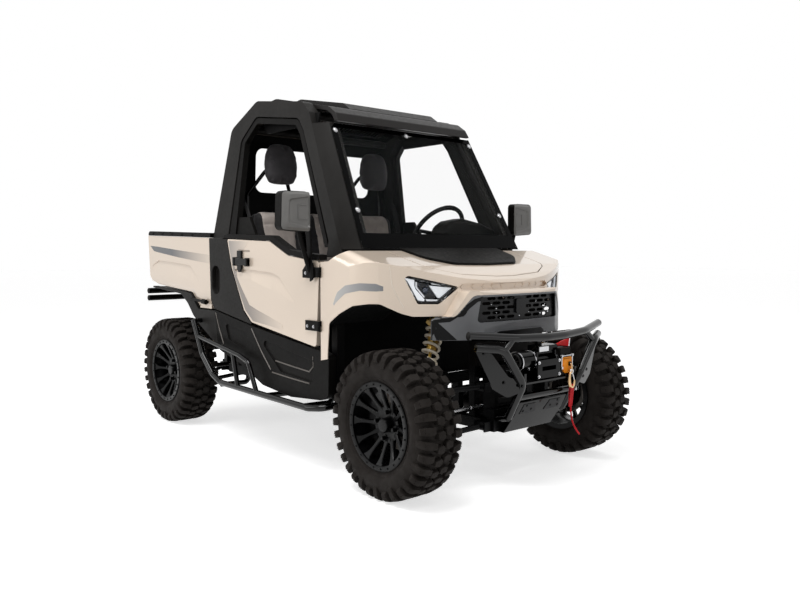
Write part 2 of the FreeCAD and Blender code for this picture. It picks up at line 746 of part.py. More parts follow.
def pressed_facet(stations, y):
    """A wedge to cut from a side panel: at each station its depth, where it is that deep and its edge."""
    sections = []
    for depth, (deep_x, deep_z), (edge_x, edge_z) in stations:
        deep, edge = V(deep_x, y - depth, deep_z), V(edge_x, y, edge_z)
        past = edge + (edge - deep) * (2 / depth)
        above = V(deep_x, past.y, deep_z)
        sections.append(Part.makePolygon([above, deep, past, above]))
    return Part.makeLoft(sections, True, True)


door_facet = [(8.0, (rear(850), 992.0), (rear(862), 940.0)),
              (9.0, (rear(1010), 991.0), (rear(1014), 936.0)),
              (9.0, (rear(1243), 978.0), (rear(1236), 886.0)),
              (8.0, (rear(1300), 960.0), (rear(1290), 868.0)),
              (2.0, (rear(1440), 840.0), (rear(1436), 826.0))]


def door():
    """The door's lower shell with the facet pressed in its outer face."""
    body = side_slab(door_outline, [10, 60, 60, 0, 20, 20, 30, 20, 60],
                     door_y - door_thickness, door_y)
    return body.cut(pressed_facet(door_facet, door_y))


def door_trim():
    """Belt trim, window frame, hinges and mirror that go with the door."""
    belt = side_slab([(rear(766), 1186.0), (rear(1234), 1172.0), (rear(1404), 1098.0),
                      (rear(1528), 1084.0), (hinge_line_x - 4, 1074.0), (hinge_line_x - 4, 1048.0),
                      (rear(1520), 1058.0), (rear(1388), 1073.0), (rear(1218), 1145.0),
                      (rear(770), 1162.0)], [0, 60, 60, 0, 0, 0, 0, 60, 60, 0],
                     door_y - door_thickness, door_y + 2)
    gap = panel_gap + 1
    outer = [(cage_inner[0][0] + gap, 1176.0)] + [(x, z) for x, z in window_line(gap)]
    inner = [(x, z) for x, z in window_line(gap + door_frame_width)]
    inner = [(inner[0][0] - 3, 1176.0)] + inner
    band = outer + [(front(-518), 1110.0), (front(-546), 1110.0)] + list(reversed(inner))
    radii = [0] + [50] * 4 + [0, 0] + [30] * 4 + [0]
    window = side_panel(band, radii, door_frame_depth, 4)
    gusset = side_panel([(rear(716), 1176.0), (rear(960), 1176.0), (rear(880), 1280.0),
                         (rear(722), 1280.0)], 0, 18, 12)
    foot = box(rear(716), rear(960), side_point(rear(800), 1176).y - 30, door_y - 10, 1164, 1182)
    upper, lower = [door_hinge(z) for z in hinge_heights]
    return fuse(belt, window, gusset, foot), fuse(upper, mirror()), lower


def door_hinge(z):
    """The door half of a hinge: a plate on the door's face and the lower barrel."""
    plate = box(hinge_line_x - 112, hinge_line_x - 14, door_y + fit_gap, door_y + 10, z - 24, z + 24)
    barrel = cylinder(V(hinge_line_x, hinge_pin_y, z - 24), Z, hinge_barrel, 24)
    neck = box(hinge_line_x - 20, hinge_line_x, door_y + 3, door_y + 10, z - 24, z)
    return fuse(plate, barrel, neck)


def window_line(inset):
    """The door opening's upper outline, drawn in by a distance."""
    drawn = []
    for i in range(1, 5):
        before, at, after = cage_inner[i - 1], cage_inner[i], cage_inner[i + 1]
        drawn.append(inset_corner(before, at, after, inset))
    return drawn


def inset_corner(before, at, after, inset):
    """The corner of two lines after both move to their right by the inset."""
    def moved_line(a, b):
        dx, dz = b[0] - a[0], b[1] - a[1]
        length = math.hypot(dx, dz)
        nx, nz = dz / length, -dx / length
        return (a[0] + nx * inset, a[1] + nz * inset), (dx / length, dz / length)
    (ax, az), (adx, adz) = moved_line(before, at)
    (bx, bz), (bdx, bdz) = moved_line(at, after)
    cross = adx * bdz - adz * bdx
    along = ((bx - ax) * bdz - (bz - az) * bdx) / cross
    return ax + adx * along, az + adz * along


def mirror():
    """The side mirror on its arm, which stands on the upper door hinge."""
    arm = tube([V(hinge_line_x - 64, door_y + 12, hinge_heights[0]), V(hinge_line_x - 64, door_y + 60, 1130),
                V(hinge_line_x - 60, door_y + 84, 1220)], 24, 60)
    housing = slab([V(hinge_line_x - 80, door_y + 40, 1180), V(hinge_line_x - 80, door_y + 200, 1190),
                    V(hinge_line_x - 80, door_y + 192, 1372), V(hinge_line_x - 80, door_y + 40, 1372)],
                   26, V(52, 0, 0))
    return fuse(arm, housing)


# Front body: a rounded volume that all front panels are cut from

cowl_top = [(front(-470), 1040.0), (front(-394), 1044.0), (front(-287), 1096.0), (front(-30), 1024.0),
            (front(60), 986.0), (front(112), 958.0)]
arch_line = [(front(-404), 601.0), (front(-391), 753.0), (front(-312), 801.0), (front(-213), 843.0),
             (front(-130), 855.0), (front(-88), 855.0), (front(-29), 811.0), (front(-2), 798.0),
             (front(150), 796.0)]
seam_line = [(front(-60), 1200.0), (front(-57), 1036.0), (front(-53), 945.0), (front(-42), 890.0),
             (front(-16), 799.0), (front(-16), 500.0)]
strip_low, strip_high, strip_depth = 914.0, 943.0, 16.0
chin_face = [(-458, 660), (-455, 784), (-385, 800), (-318, 912),
             (318, 912), (385, 800), (455, 784), (458, 660)]


def curved_nose(points):
    """A prism whose nose runs in arcs through (x, half width) points, side to middle to side."""
    right = [V(x, -y, 0) for x, y in points]
    left = [V(x, y, 0) for x, y in reversed(points)]
    edges = [Part.LineSegment(V(front(-500), right[0].y, 0), right[0]).toShape(),
             Part.Arc(*right[0:3]).toShape(),
             Part.Arc(*right[2:5]).toShape(),
             Part.Arc(right[4], V(points[5][0], 0, 0), left[1]).toShape(),
             Part.Arc(*left[1:4]).toShape(),
             Part.Arc(*left[3:6]).toShape(),
             Part.LineSegment(left[5], V(front(-500), left[5].y, 0)).toShape(),
             Part.LineSegment(V(front(-500), left[5].y, 0), V(front(-500), right[0].y, 0)).toShape()]
    return Part.Face(Part.Wire(edges)).extrude(V(0, 0, 1300))


def upper_volume(inset, drop):
    """Hood, lamps and fenders: swept back from the middle to the sides."""
    half = door_y - inset
    ahead = front(0) - inset
    plan = curved_nose([(front(-266), half), (front(-172), half - 12), (ahead - 90, half - 58),
                        (ahead - 24, half - 146), (ahead + 88, 313), (ahead + 124, 0)])
    profile = [(x, z - inset) for x, z in cowl_top]
    profile += [(front(126) - inset, 940.0), (front(126) - inset, 690.0 - drop),
                (front(-500), 560.0 - drop), (front(-500), 1040.0 - inset)]
    side = side_slab(profile, [0, 30, 40, 90, 60, 12, 6, 0, 0, 0], -half, half)
    slope = (cowl_top[2][1] - cowl_top[3][1]) / (cowl_top[3][0] - cowl_top[2][0])
    start = front(-500)
    top = cowl_top[2][1] + (cowl_top[2][0] - start) * slope + 3 - inset
    section = [V(start, -half, 200), V(start, half, 200), V(start, half, top), V(start, -half, top)]
    round_ = fender_shoulder - inset
    crown = slab(section, [0, 0, round_, round_], V(900, 0, -900 * slope))
    return plan.common(side).common(crown)


def chin_volume(inset, drop):
    """The part that stands out under the lamps and carries the grille, with a shelf on top."""
    plan = curved_nose([(front(-40), 462 - inset), (front(30), 460 - inset), (front(66) - inset, 440),
                        (front(126) - inset, 366), (front(183) - inset, 266), (front(198) - inset, 0)])
    foot = front(172) - inset - drop * (200 - 172) / (766 - 690)
    profile = [(front(60), 922.0 - inset), (front(176) - inset, 913.0 - inset), (front(192) - inset, 900.0),
               (front(200) - inset, 880.0), (front(200) - inset, 766.0), (foot, 690.0 - drop),
               (front(0), 690.0 - drop), (front(0), 800.0 - inset)]
    side = side_slab(profile, [0, 8, 6, 6, 30, 10, 0, 0], -500, 500)
    corners = [(y - math.copysign(inset, y), z - inset if z > 700 else z - drop) for y, z in chin_face]
    face = face_slab(corners, [0, 20, 24, 16, 16, 24, 20, 0], front(-100), front(300))
    return plan.common(side).common(face)


def front_volume(inset=0.0, drop=0.0):
    """The outer volume of the front body, or the space this far inside it and this much lower."""
    upper = upper_volume(inset, drop)
    strip = face_slab([(-322 - inset, 927), (-300, strip_low - inset), (300, strip_low - inset),
                       (322 + inset, 927), (300, strip_high + inset), (-300, strip_high + inset)],
                      0, front(0), front(200))
    strip = strip.cut(upper_volume(inset + strip_depth, drop))
    return upper.cut(strip).fuse(chin_volume(inset, drop)).removeSplitter()


def arch_cut(extra=0.0):
    """What is cut away below the fender line, on both sides."""
    line = [(x, z + extra) for x, z in arch_line]
    outline = line + [(front(300), 796.0 + extra), (front(300), 300.0), (front(-404), 300.0)]
    return side_slab(outline, [0, 30, 0, 30, 30, 24, 20, 20, 0, 0, 0, 0], -900, 900)


def front_shell():
    return front_volume().cut(front_volume(shell, 60.0))


def fascia_region():
    """The dark lower nose: everything below this line belongs to the fascia."""
    return face_slab([(-480, 797), (-374, 795), (-300, 893), (300, 893), (374, 795), (480, 797),
                      (480, 600), (-480, 600)], [0, 30, 40, 40, 30, 0, 0, 0], front(0), front(300))


def lamp_outline(grow=0.0):
    return [(556 + grow, 984 + grow), (497 + grow, 857 - grow), (410 - grow / 2, 855 - grow),
            (318 - grow * 2, 928)]


def lamp_prism(grow=0.0):
    return face_slab(lamp_outline(grow), [14, 10, 14, 8], front(-60), front(300))


def hood_region(grow=0.0):
    return plan_slab([(front(-289) - grow, -440 - grow), (front(-20), -424 - grow),
                      (front(58) + grow, -280), (front(82) + grow, -60), (front(82) + grow, 60),
                      (front(58) + grow, 280), (front(-20), 424 + grow), (front(-289) - grow, 440 + grow)],
                     [0, 90, 120, 200, 200, 120, 90, 0], 950, 1300)


def grille_opening():
    return face_slab([(-286, 768), (-268, 884), (268, 884), (286, 768)], 16, front(100), front(300))


def seam_region():
    """Everything behind the seam between fender and nose."""
    outline = seam_line + [(front(-600), 500.0), (front(-600), 1200.0)]
    return side_slab(outline, 0, -900, 900)


def front_panels():
    """Fenders, nose, fascia and hood, cut from one shell so that their surfaces run on."""
    skin = front_shell()
    hood = skin.common(hood_region())
    rest = skin.cut(hood_region(panel_gap))
    upper = rest.cut(fascia_region()).cut(arch_cut())
    fascia = rest.common(fascia_region()).cut(grille_opening())
    fascia = fascia.cut(box(front(-10), front(46), -900, 900, 500, 900))
    pad = face_slab([(-205, 692), (-165, 726), (165, 726), (205, 692)], 8, front(100), front(260))
    fascia = fascia.fuse(front_volume(-5.0).cut(front_volume(1.0, 60.0)).common(pad))
    fenders = upper.common(seam_region()).cut(box(front(-600), front(-462) + 4, -900, 900, 500, 1200))
    fenders = fenders.cut(box(front(-600), front(-289), -560, 560, 900, 1200))
    for z in hinge_heights:
        fenders = fenders.cut(both(box(hinge_line_x, hinge_line_x + 12, door_y - 30, door_y + 1,
                                       z - 26, z + 26)))
    nose = upper.cut(seam_region()).cut(both(lamp_prism(3.0)))
    lens = front_volume().cut(front_volume(60.0)).common(both(lamp_prism()))
    flange = nose_layer(shell + fit_gap, shell + 8).common(both(lamp_prism(9.0)))
    lamps = lens.fuse(flange).removeSplitter()
    hood = fuse(largest(hood, 1), both(moving_hood_hinge()))
    return hood, largest(fenders, 2), largest(nose, 1), largest(fascia, 1), lamps


def largest(shape, count):
    """The largest solids of a cut shape, without slivers."""
    solids = sorted(shape.Solids, key=lambda s: -s.Volume)[:count]
    return solids[0] if count == 1 else Part.makeCompound(solids)


def hood_insert():
    """The raised dark panel on the hood."""
    outline = [(front(-282), -350), (front(-130), -325), (front(-34), -220), (front(-22), 0),
               (front(-34), 220), (front(-130), 325), (front(-282), 350)]
    plate = plan_slab(outline, [0, 120, 80, 0, 80, 120, 0], 900, 1300)
    profile = [(front(-282), 1094.8), (front(-30), 1024.3), (front(-14), 1021.0), (front(-30), 1036.0),
               (front(-282), 1108.0)]
    return plate.common(side_slab(profile, 0, -500, 500))


def nose_layer(outer_inset, inner_inset):
    """A layer of the front body between two insets."""
    return front_volume(outer_inset).cut(front_volume(inner_inset))


def grille():
    """Long honeycomb cells sunk behind the nose opening, in a rim that meets the fascia."""
    cells = []
    rows, cell, high, bar = 5, 56.0, 15.0, 7.0
    for row in range(rows):
        z = 772 + bar + row * (high + bar) + high / 2
        shift = (cell + bar) / 2 if row % 2 else 0
        for column in range(-5, 6):
            y = column * (cell + bar) + shift
            if abs(y) + cell / 2 > 264 or abs(y) < cell / 2 + 24:
                continue
            outline = [(y - cell / 2, z), (y - cell / 2 + 9, z - high / 2), (y + cell / 2 - 9, z - high / 2),
                       (y + cell / 2, z), (y + cell / 2 - 9, z + high / 2), (y - cell / 2 + 9, z + high / 2)]
            cells.append(face_slab(outline, 0, front(100), front(260)))

    def area(low, high, half_low, half_high):
        return face_slab([(-half_low, low), (-half_high, high), (half_high, high), (half_low, low)], 10,
                         front(120), front(260))
    sheet = nose_layer(18, 26).common(area(762, 889, 296, 276)).cut(Part.makeCompound(cells))
    rim = nose_layer(shell + fit_gap, 26).common(area(756, 895, 304, 284).cut(area(766, 886, 290, 270)))
    block = nose_layer(8, 19).common(area(800, 868, 34, 34))
    return fuse(sheet, rim, block)


def inner_fender():
    """The arch liner: a strip under the fender line, trimmed to the body's inside."""
    outer = [(x, z - 0.5) for x, z in arch_line[1:7]]
    inner = [(x + (4 if i == 0 else 0), z - 6) for i, (x, z) in enumerate(arch_line[1:7])]
    strip = side_slab(outer + list(reversed(inner)), 0, 372, door_y)
    return strip.common(front_volume(shell + fit_gap))


def front_bumper():
    """Upper bar, hoop with splayed legs, and the winch shelf between them."""
    upper = tube([V(front(295), -470, 731), V(front(372), -250, 712), V(front(397), -60, 706),
                  V(front(397), 60, 706), V(front(372), 250, 712), V(front(295), 470, 731)],
                 bumper_tube, 260)
    knee, base = V(front(376), 204, 505), V(front(282), 194, 340)
    leg = tube([V(front(313), 442, 680), V(front(372), 330, 668), knee, base], bumper_tube, 70)
    foot = rod(base, V(front(222), 192, 328), bumper_tube)
    wing = [(445, 672), (362, 650), (275, 540), (204, 522), (204, 472), (282, 450), (352, 492)]
    slant = (knee.x - front(313)) / (442 - knee.y)
    plate = slab([V(front(311) + (442 - y) * slant, y, z) for y, z in wing],
                 [0, 30, 40, 0, 0, 40, 30], V(-5, 0, 0))
    stay = rod(V(front(368), 262, 712), V(front(368), 318, 664), bumper_tube - 8)
    arm = box(front(86) + fit_gap, front(372), 176, 190, 500, 548)
    shelf = box(front(225), front(368), -190, 190, 498, 506)
    cross = rod(V(front(330), -186, 436), V(front(330), 186, 436), 30)
    return fuse(upper, both(fuse(leg, foot, stay, arm, plate)), shelf, cross)


def radiator():
    """The core with its side tanks, set against the front tower."""
    core = box(front(86) + fit_gap, front(118), -205, 205, 568, 862)
    tanks = box(front(86) + fit_gap, front(126), 205, 238, 560, 870)
    return fuse(core, both(tanks))


def skid_plate():
    """The plate under the nose, bent up to the bumper."""
    outline = [(front(150), rail_z - 6.3), (front(236), rail_z - 6.3), (front(300), 348.0),
               (front(330), 410.0), (front(324), 412.0), (front(294), 352.0), (front(234), rail_z - 0.3),
               (front(150), rail_z - 0.3)]
    return side_slab(outline, 0, -172, 172)


winch_centre = V(front(294), 0, 590.0)
hook_y = 148.0


def winch():
    """Motor, drum and gear case in line, with tie bars, the fairlead and the hook's lug."""
    x, z = winch_centre.x, winch_centre.z
    motor = cylinder(V(x, -160, z), Y, 46, 100)
    cap = cylinder(V(x, -172, z), Y, 40, 14)
    gears = cylinder(V(x, 78, z), Y, 44, 94)
    drum = cylinder(V(x, -66, z), Y, 26, 146)
    cheeks = [box(x - 44, x + 44, y, y + 12, 506.4, z + 42) for y in (-66, 68)]
    bars = [rod(V(x + dx, -60, z + dz), V(x + dx, 74, z + dz), 12) for dx, dz in ((-30, 32), (30, 32))]
    fairlead = box(x + 58, x + 66, -82, 82, 512, 596).cut(box(x + 50, x + 80, -50, 50, 546, 566))
    arms = [box(x + 40, x + 62, y, y + 8, 512, 540) for y in (-64, 70)]
    control = box(x - 30, x + 34, -40, 98, z + 35, z + 66)
    cover = box(x + 38, x + 62, 96, 171, 551, 596)
    lug = box(x + 55, x + 74, hook_y - 6, hook_y + 6, 553, 572)
    return fuse(motor, cap, gears, drum, *cheeks, *bars, fairlead, *arms, control, cover, lug)


def winch_hook():
    """The open hook that hangs from the winch's lug."""
    x, y, z = winch_centre.x + 82, hook_y, 560.0
    line = tube([V(x - 8 + fit_gap, y, z + 2), V(x - 3, y, z + 2), V(x, y, z - 22)], 7, 4)
    eye = Part.makeTorus(11, 4, V(x, y, z - 34), X)
    bend = tube([V(x, y, z - 46), V(x, y + 20, z - 62), V(x, y + 20, z - 92), V(x, y - 8, z - 110),
                 V(x, y - 24, z - 88)], 9, 11)
    return fuse(line, eye, bend)


strap_width = 8.0
strap_points = [V(front(376), hook_y, 444.6), V(front(379), 140, 396), V(front(383), 134, 340),
                V(front(384), 152, 270), V(front(382), 206, 220)]


def hook_strap():
    return tube(strap_points, strap_width, 90)


def step_bar():
    """The step bar along the sill, with its rear rise, middle rail and uprights."""
    y = door_y + 36
    lower = tube([V(rear(418), y, 683), V(rear(526), y, 486), V(rear(646), y, 383), V(rear(740), y, 347),
                  V(front(-520), y, 333), V(front(-440), y - 30, 340), V(front(-425), y - 110, 348)],
                 step_tube, 50)
    middle = tube([V(rear(470), y, 590), V(rear(950), y, 523), V(rear(1046), y, 496),
                   V(rear(1126), y, 345)], step_tube - 8, 40)
    upright = rod(V(rear(880), y, 533), V(rear(930), y, 345), step_tube - 8)
    stays = []
    for x in (rear(740), rear(1200), front(-560)):
        stays.append(tube([V(x, sill_y, sill_z - fit_gap), V(x, sill_y, 332), V(x, y, 336)],
                          step_tube - 6, 26))
    top = rod(V(rear(418), y, 676), V(rear(418), door_y - 14 + fit_gap, 676), step_tube - 6)
    return fuse(lower, middle, upright, top, *stays)


# Rear body

bed_side_outline = [(rear(-336), 1192.0), (rear(536), 1168.0), (rear(536), 752.0), (rear(385), 752.0),
                    (rear(280), 842.0), (rear(-200), 872.0), (rear(-296), 896.0), (rear(-318), 926.0)]


bed_facet = [(2.0, (rear(-262), 1000.0), (rear(-284), 976.0)),
             (9.0, (rear(-185), 1029.0), (rear(-240), 945.0)),
             (9.0, (rear(40), 1018.0), (rear(60), 930.0)),
             (9.0, (rear(270), 1003.0), (rear(262), 912.0)),
             (2.0, (rear(372), 915.0), (rear(376), 893.0))]
bed_undercut = [(14.0, (rear(-350), 850.0), (rear(-350), 930.0)),
                (14.0, (rear(-200), 836.0), (rear(-200), 920.0)),
                (14.0, (rear(280), 800.0), (rear(296), 878.0)),
                (10.0, (rear(366), 740.0), (rear(430), 778.0))]


def bed():
    """The tipping cargo box: floor, two walls and the front wall."""
    half = bed_half_width
    wall = side_slab(bed_side_outline, [0, 0, 0, 40, 60, 60, 30, 0], half - bed_wall, half)
    wall = wall.cut(pressed_facet(bed_facet, half)).cut(pressed_facet(bed_undercut, half))
    floor_plate = box(bed_rear_x, bed_front_x, -half + 5, half - 5, bed_floor_z, bed_floor_z + 20)
    front_wall = box(bed_front_x - 32, bed_front_x, -half + 5, half - 5, bed_floor_z, 1168)
    sill = box(bed_rear_x, bed_rear_x + 30, -half + 5, half - 5, bed_floor_z - 30, bed_floor_z + 1)
    ribs, ears = [], []
    for way in (-1, 1):
        y = way * upper_rail_y
        ribs.append(box(rear(-290), rear(520), y - 22, y + 22, bed_floor_z - bed_rib, bed_floor_z + 1))
        for side in (-41, 31):
            pin = bed_pivot + Y * (y + side)
            ear = fuse(box(pin.x - 16, pin.x + 30, pin.y, pin.y + 10, pin.z, bed_floor_z),
                       cylinder(pin, Y, 16, 10))
            ribs.append(ear.cut(cylinder(pin - Y, Y, bed_pin + fit_gap, 12)))
        y = way * tailgate_hinge_y
        for side in (-52, 40.3):
            pin = V(tailgate_pin_x, y + side, bed_floor_z)
            ears.append(cylinder(pin, Y, 12, 11.7))
            ears.append(box(tailgate_pin_x, bed_rear_x + 5, y + side, y + side + 11.7,
                            bed_floor_z - 12, bed_floor_z + 8))
    return fuse(both(wall), floor_plate, front_wall, sill, *ribs, *ears)


def bed_rails():
    """The dark top rails of the box, raised to the rear."""
    outline = [(rear(-336), 1193.0), (rear(-310), 1221.0), (rear(536), 1196.0), (rear(536), 1169.0)]
    rail = side_slab(outline, [8, 20, 0, 0], bed_half_width - bed_wall - 4, bed_half_width + 3)
    rail = moved(rail, V(0, 0, fit_gap))
    across = box(rear(500), rear(536), -bed_half_width + 30, bed_half_width - 30, 1169 + fit_gap, 1195)
    return fuse(both(rail), across)


def tailgate():
    """The gate between the side walls, on two hinges at floor level."""
    half = bed_half_width - bed_wall - panel_gap
    x0 = bed_rear_x - tailgate_thickness
    plate = box(x0, bed_rear_x - 1, -half, half, bed_floor_z + 16, 1186)
    panel = box(x0 - 2, x0 + 6, -half + 90, half - 90, 980, 1120)
    handle = box(x0 + 1, x0 + 10, -90, 90, 1030, 1070)
    parts = [plate.cut(panel), handle]
    for y in (-tailgate_hinge_y, tailgate_hinge_y):
        parts.append(cylinder(V(tailgate_pin_x, y - 40, bed_floor_z), Y, 12, 80))
        parts.append(box(tailgate_pin_x - 9, tailgate_pin_x + 9, y - 40, y + 40, bed_floor_z,
                         bed_floor_z + 17))
    return fuse(*parts)


def rear_fender():
    """The flared guard over the rear wheel's front: an outer skin and the liner behind it."""
    top = [(rear(-262), 860.0), (rear(-200), 862.0), (rear(282), 832.0), (rear(376), 744.0),
           (rear(588), 744.0), (rear(618), 560.0)]
    arch = [(rear(600), 548.0), (rear(408), 640.0), (rear(310), 700.0), (rear(238), 770.0),
            (rear(150), 824.0), (rear(-262), 850.0)]
    skin = side_slab(top + arch, 0, bed_half_width - 10, bed_half_width + 6)
    low = [(x, z) for x, z in arch[1:]]
    high = [(x + 5, z + 7) for x, z in reversed(low)]
    liner = side_slab(low + high, 0, 500, bed_half_width - 9)
    return fuse(skin, liner)


def rear_bumper():
    """Two stacked tubes on stays from the upper rails."""
    x = rear(-372)
    bars = [rod(V(x, -670, z), V(x, 670, z), bumper_tube) for z in (822.0, 774.0)]
    stays = []
    for y in (-upper_rail_y, upper_rail_y):
        stays.append(box(x - 8, rear(-300) - fit_gap, y - 18, y + 18, upper_rail_z + 4, upper_rail_z + 44))
        stays.append(box(x - 8, x + 16, y - 18, y + 18, upper_rail_z + 4, 828))
    return fuse(*bars, *stays)


def bed_hinge_pins():
    """The pivots at the rear ends of the upper rails that the box tips on."""
    parts = []
    for way in (-1, 1):
        y = way * upper_rail_y
        parts.append(box(bed_pivot.x - 14, bed_pivot.x + 14, y - 30, y + 30,
                         upper_rail_z + rail_size - 1, bed_pivot.z))
        parts.append(cylinder(bed_pivot + Y * (y - 30), Y, 14, 60))
        parts.append(cylinder(bed_pivot + Y * (y - 42), Y, bed_pin, 84))
    return parts


def hitch_receiver():
    """The square receiver tube under the rear, on its cross plate."""
    low, high = rail_z + 2, rail_z + 64
    tube_ = box(rear(-350), rear(-240) - fit_gap, -31, 31, low, high)
    bore = box(rear(-360), rear(-250), -25.4, 25.4, low + 5.6, high - 5.6)
    plate = box(rear(-252), rear(-240) - fit_gap, -rail_y, rail_y, low - 2, high)
    return fuse(tube_, plate).cut(bore)


def steering_rack():
    """The rack bar with a tie rod to an eye under each steering arm."""
    x = front_axle_x + steering_arm
    eye_y = kingpin_y - 30
    bar = rod(V(x, -262, rack_z), V(x, 262, rack_z), rack_diameter)
    rods = both(rod(V(x, 250, rack_z), V(x, eye_y, rack_z), 15))
    top = steering_arm_z - steering_eye - fit_gap
    eyes = both(cylinder(V(x, eye_y, rack_z - 10), Z, 14, top - rack_z + 10))
    return fuse(bar, rods, eyes)


def rack_housing():
    x = front_axle_x + steering_arm
    tube_ = cylinder(V(x, -150, rack_z), Y, rack_housing_radius, 300)
    return tube_.cut(cylinder(V(x, -151, rack_z), Y, rack_diameter / 2 + fit_gap, 302))


def write(name, shape):
    shape.exportStep(os.path.join("parts", name + ".step"))


def main():
    os.makedirs("parts", exist_ok=True)
    lower_frame, towers, posts = frame_parts()
    hood, fenders, nose, fascia, lamps = front_panels()
    body_trim, upper_hinge, lower_hinge = door_trim()
    trim = Part.makeCompound([body_trim, upper_hinge, lower_hinge])
    nodes = {
        "frame": lower_frame,
        "frame_towers": towers,
        "hinge_posts": posts,
        "cab_floor": floor(),
        "dashboard": dashboard(),
        "seat_cushions": seat_cushions(),
        "seat_backs": seat_backs(),
        "headrests": headrests(),
        "headrest_loops": headrest_loops(),
        "cage": cage(),
        "roof": roof(),
        "windshield": windshield(),
        "rear_panel": rear_panel(),
        "pillar_covers": pair(pillar_cover()),
        "front_fenders": fenders,
        "nose_panel": nose,
        "front_fascia": fascia,
        "grille": grille(),
        "headlamps": lamps,
        "inner_fenders": pair(inner_fender()),
        "front_bumper": front_bumper(),
        "skid_plate": skid_plate(),
        "radiator": radiator(),
        "winch": winch(),
        "winch_hook": winch_hook(),
        "hook_strap": hook_strap(),
        "rocker_panels": pair(rocker()),
        "step_bars": pair(step_bar()),
        "rear_fenders": pair(rear_fender()),
        "rear_bumper": rear_bumper(),
        "hitch_receiver": hitch_receiver(),
        "engine": engine(),
        "exhaust": exhaust(),
        "drivetrain": drivetrain(),
        "control_arms": control_arms(),
        "shocks": Part.makeCompound([pair(shock_body(x)) for x in (front_axle_x, rear_axle_x)]),
        "springs": Part.makeCompound([pair(spring(x)) for x in (front_axle_x, rear_axle_x)]),
        "rear_knuckles": pair(knuckle(rear_axle_x, False)),
        "rack_housing": rack_housing(),
        "knuckle_left": knuckle(front_axle_x, True),
        "knuckle_right": mirrored(knuckle(front_axle_x, True)),
        "steering_rack": steering_rack(),
        "steering_wheel": steering_wheel(),
        "door_left": door(),
        "door_right": mirrored(door()),
        "door_trim_left": trim,
        "door_trim_right": mirrored(trim),
        "hood": hood,
        "hood_insert": hood_insert(),
        "bed": bed(),
        "bed_rails": bed_rails(),
        "tailgate": tailgate(),
    }
    for kind, shape in (("rim", rim()), ("tyre", tyre())):
        for place, copy in placed_wheels(shape).items():
            nodes[kind + "_" + place] = copy
    for name, shape in nodes.items():
        write(name, shape)


main()
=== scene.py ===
"""Looks of a side-by-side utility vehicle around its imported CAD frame.

Metres, X forward, Y to the vehicle's left, Z up, ground at z = 0, origin at mid-length.
Tables of outlines are in millimetres.
"""
import math

import bmesh
import bpy
from mathutils import Matrix, Vector
from mathutils.bvhtree import BVHTree


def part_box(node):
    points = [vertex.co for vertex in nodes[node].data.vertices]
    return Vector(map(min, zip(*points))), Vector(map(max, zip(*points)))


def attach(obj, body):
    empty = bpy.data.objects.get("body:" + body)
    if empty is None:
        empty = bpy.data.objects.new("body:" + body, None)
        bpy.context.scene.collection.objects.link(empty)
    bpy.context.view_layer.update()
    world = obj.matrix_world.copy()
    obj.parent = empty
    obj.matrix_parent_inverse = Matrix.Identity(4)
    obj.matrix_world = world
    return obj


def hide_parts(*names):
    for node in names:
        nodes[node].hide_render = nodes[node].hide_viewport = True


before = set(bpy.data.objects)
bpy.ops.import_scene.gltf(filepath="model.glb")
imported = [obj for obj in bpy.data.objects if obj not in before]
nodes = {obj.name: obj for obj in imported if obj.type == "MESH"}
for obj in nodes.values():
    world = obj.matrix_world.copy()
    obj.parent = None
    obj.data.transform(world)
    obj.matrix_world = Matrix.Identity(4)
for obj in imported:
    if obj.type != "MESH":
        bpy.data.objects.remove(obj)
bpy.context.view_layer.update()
scene = bpy.context.scene

# Driving sizes, read from the frame where a node gives them
tyre_low, tyre_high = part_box("tyre_front_right")
rear_low, rear_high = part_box("tyre_rear_right")
front_axle = (tyre_low.x + tyre_high.x) / 2
rear_axle = (rear_low.x + rear_high.x) / 2
tyre_radius = (tyre_high.z - tyre_low.z) / 2
wheel_y = abs(tyre_low.y + tyre_high.y) / 2
door_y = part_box("door_left")[1].y
wheels = [(end + "_" + side, end, side, way, (axle, way * wheel_y, tyre_radius))
          for end, axle in (("front", front_axle), ("rear", rear_axle))
          for side, way in (("left", 1), ("right", -1))]
sides = (("left", 1), ("right", -1))
ways = (-1, 1)


def rear(x):
    """A place measured from the rear axle."""
    return rear_axle + x


def front(x):
    """A place measured from the front axle."""
    return front_axle + x


def linked(name, data):
    """An object in the scene for its data."""
    thing = bpy.data.objects.new(name, data)
    scene.collection.objects.link(thing)
    return thing


# Camera, solved from the photograph

def add_camera():
    yaw, pitch = math.radians(48.82), math.radians(3.676)
    data = bpy.data.cameras.new("camera")
    data.lens = 35.15
    data.sensor_width = 36.0
    data.clip_end = 100
    camera = linked("camera", data)
    camera.location = (3.6356, -2.8623, 1.0977)
    look = Vector((-math.sin(yaw) * math.cos(pitch), math.cos(yaw) * math.cos(pitch), -math.sin(pitch)))
    camera.rotation_euler = look.to_track_quat("-Z", "Y").to_euler()
    scene.camera = camera


add_camera()


# Materials

def srgb(red, green, blue):
    """A linear colour from the 0 to 255 values that a screen shows."""
    return tuple((v / 255) ** 2.2 for v in (red, green, blue))


def scaled(colour, factor, more=0.0):
    """A lighter or darker tone of a colour."""
    return tuple(min(1.0, c * factor + more) for c in colour)


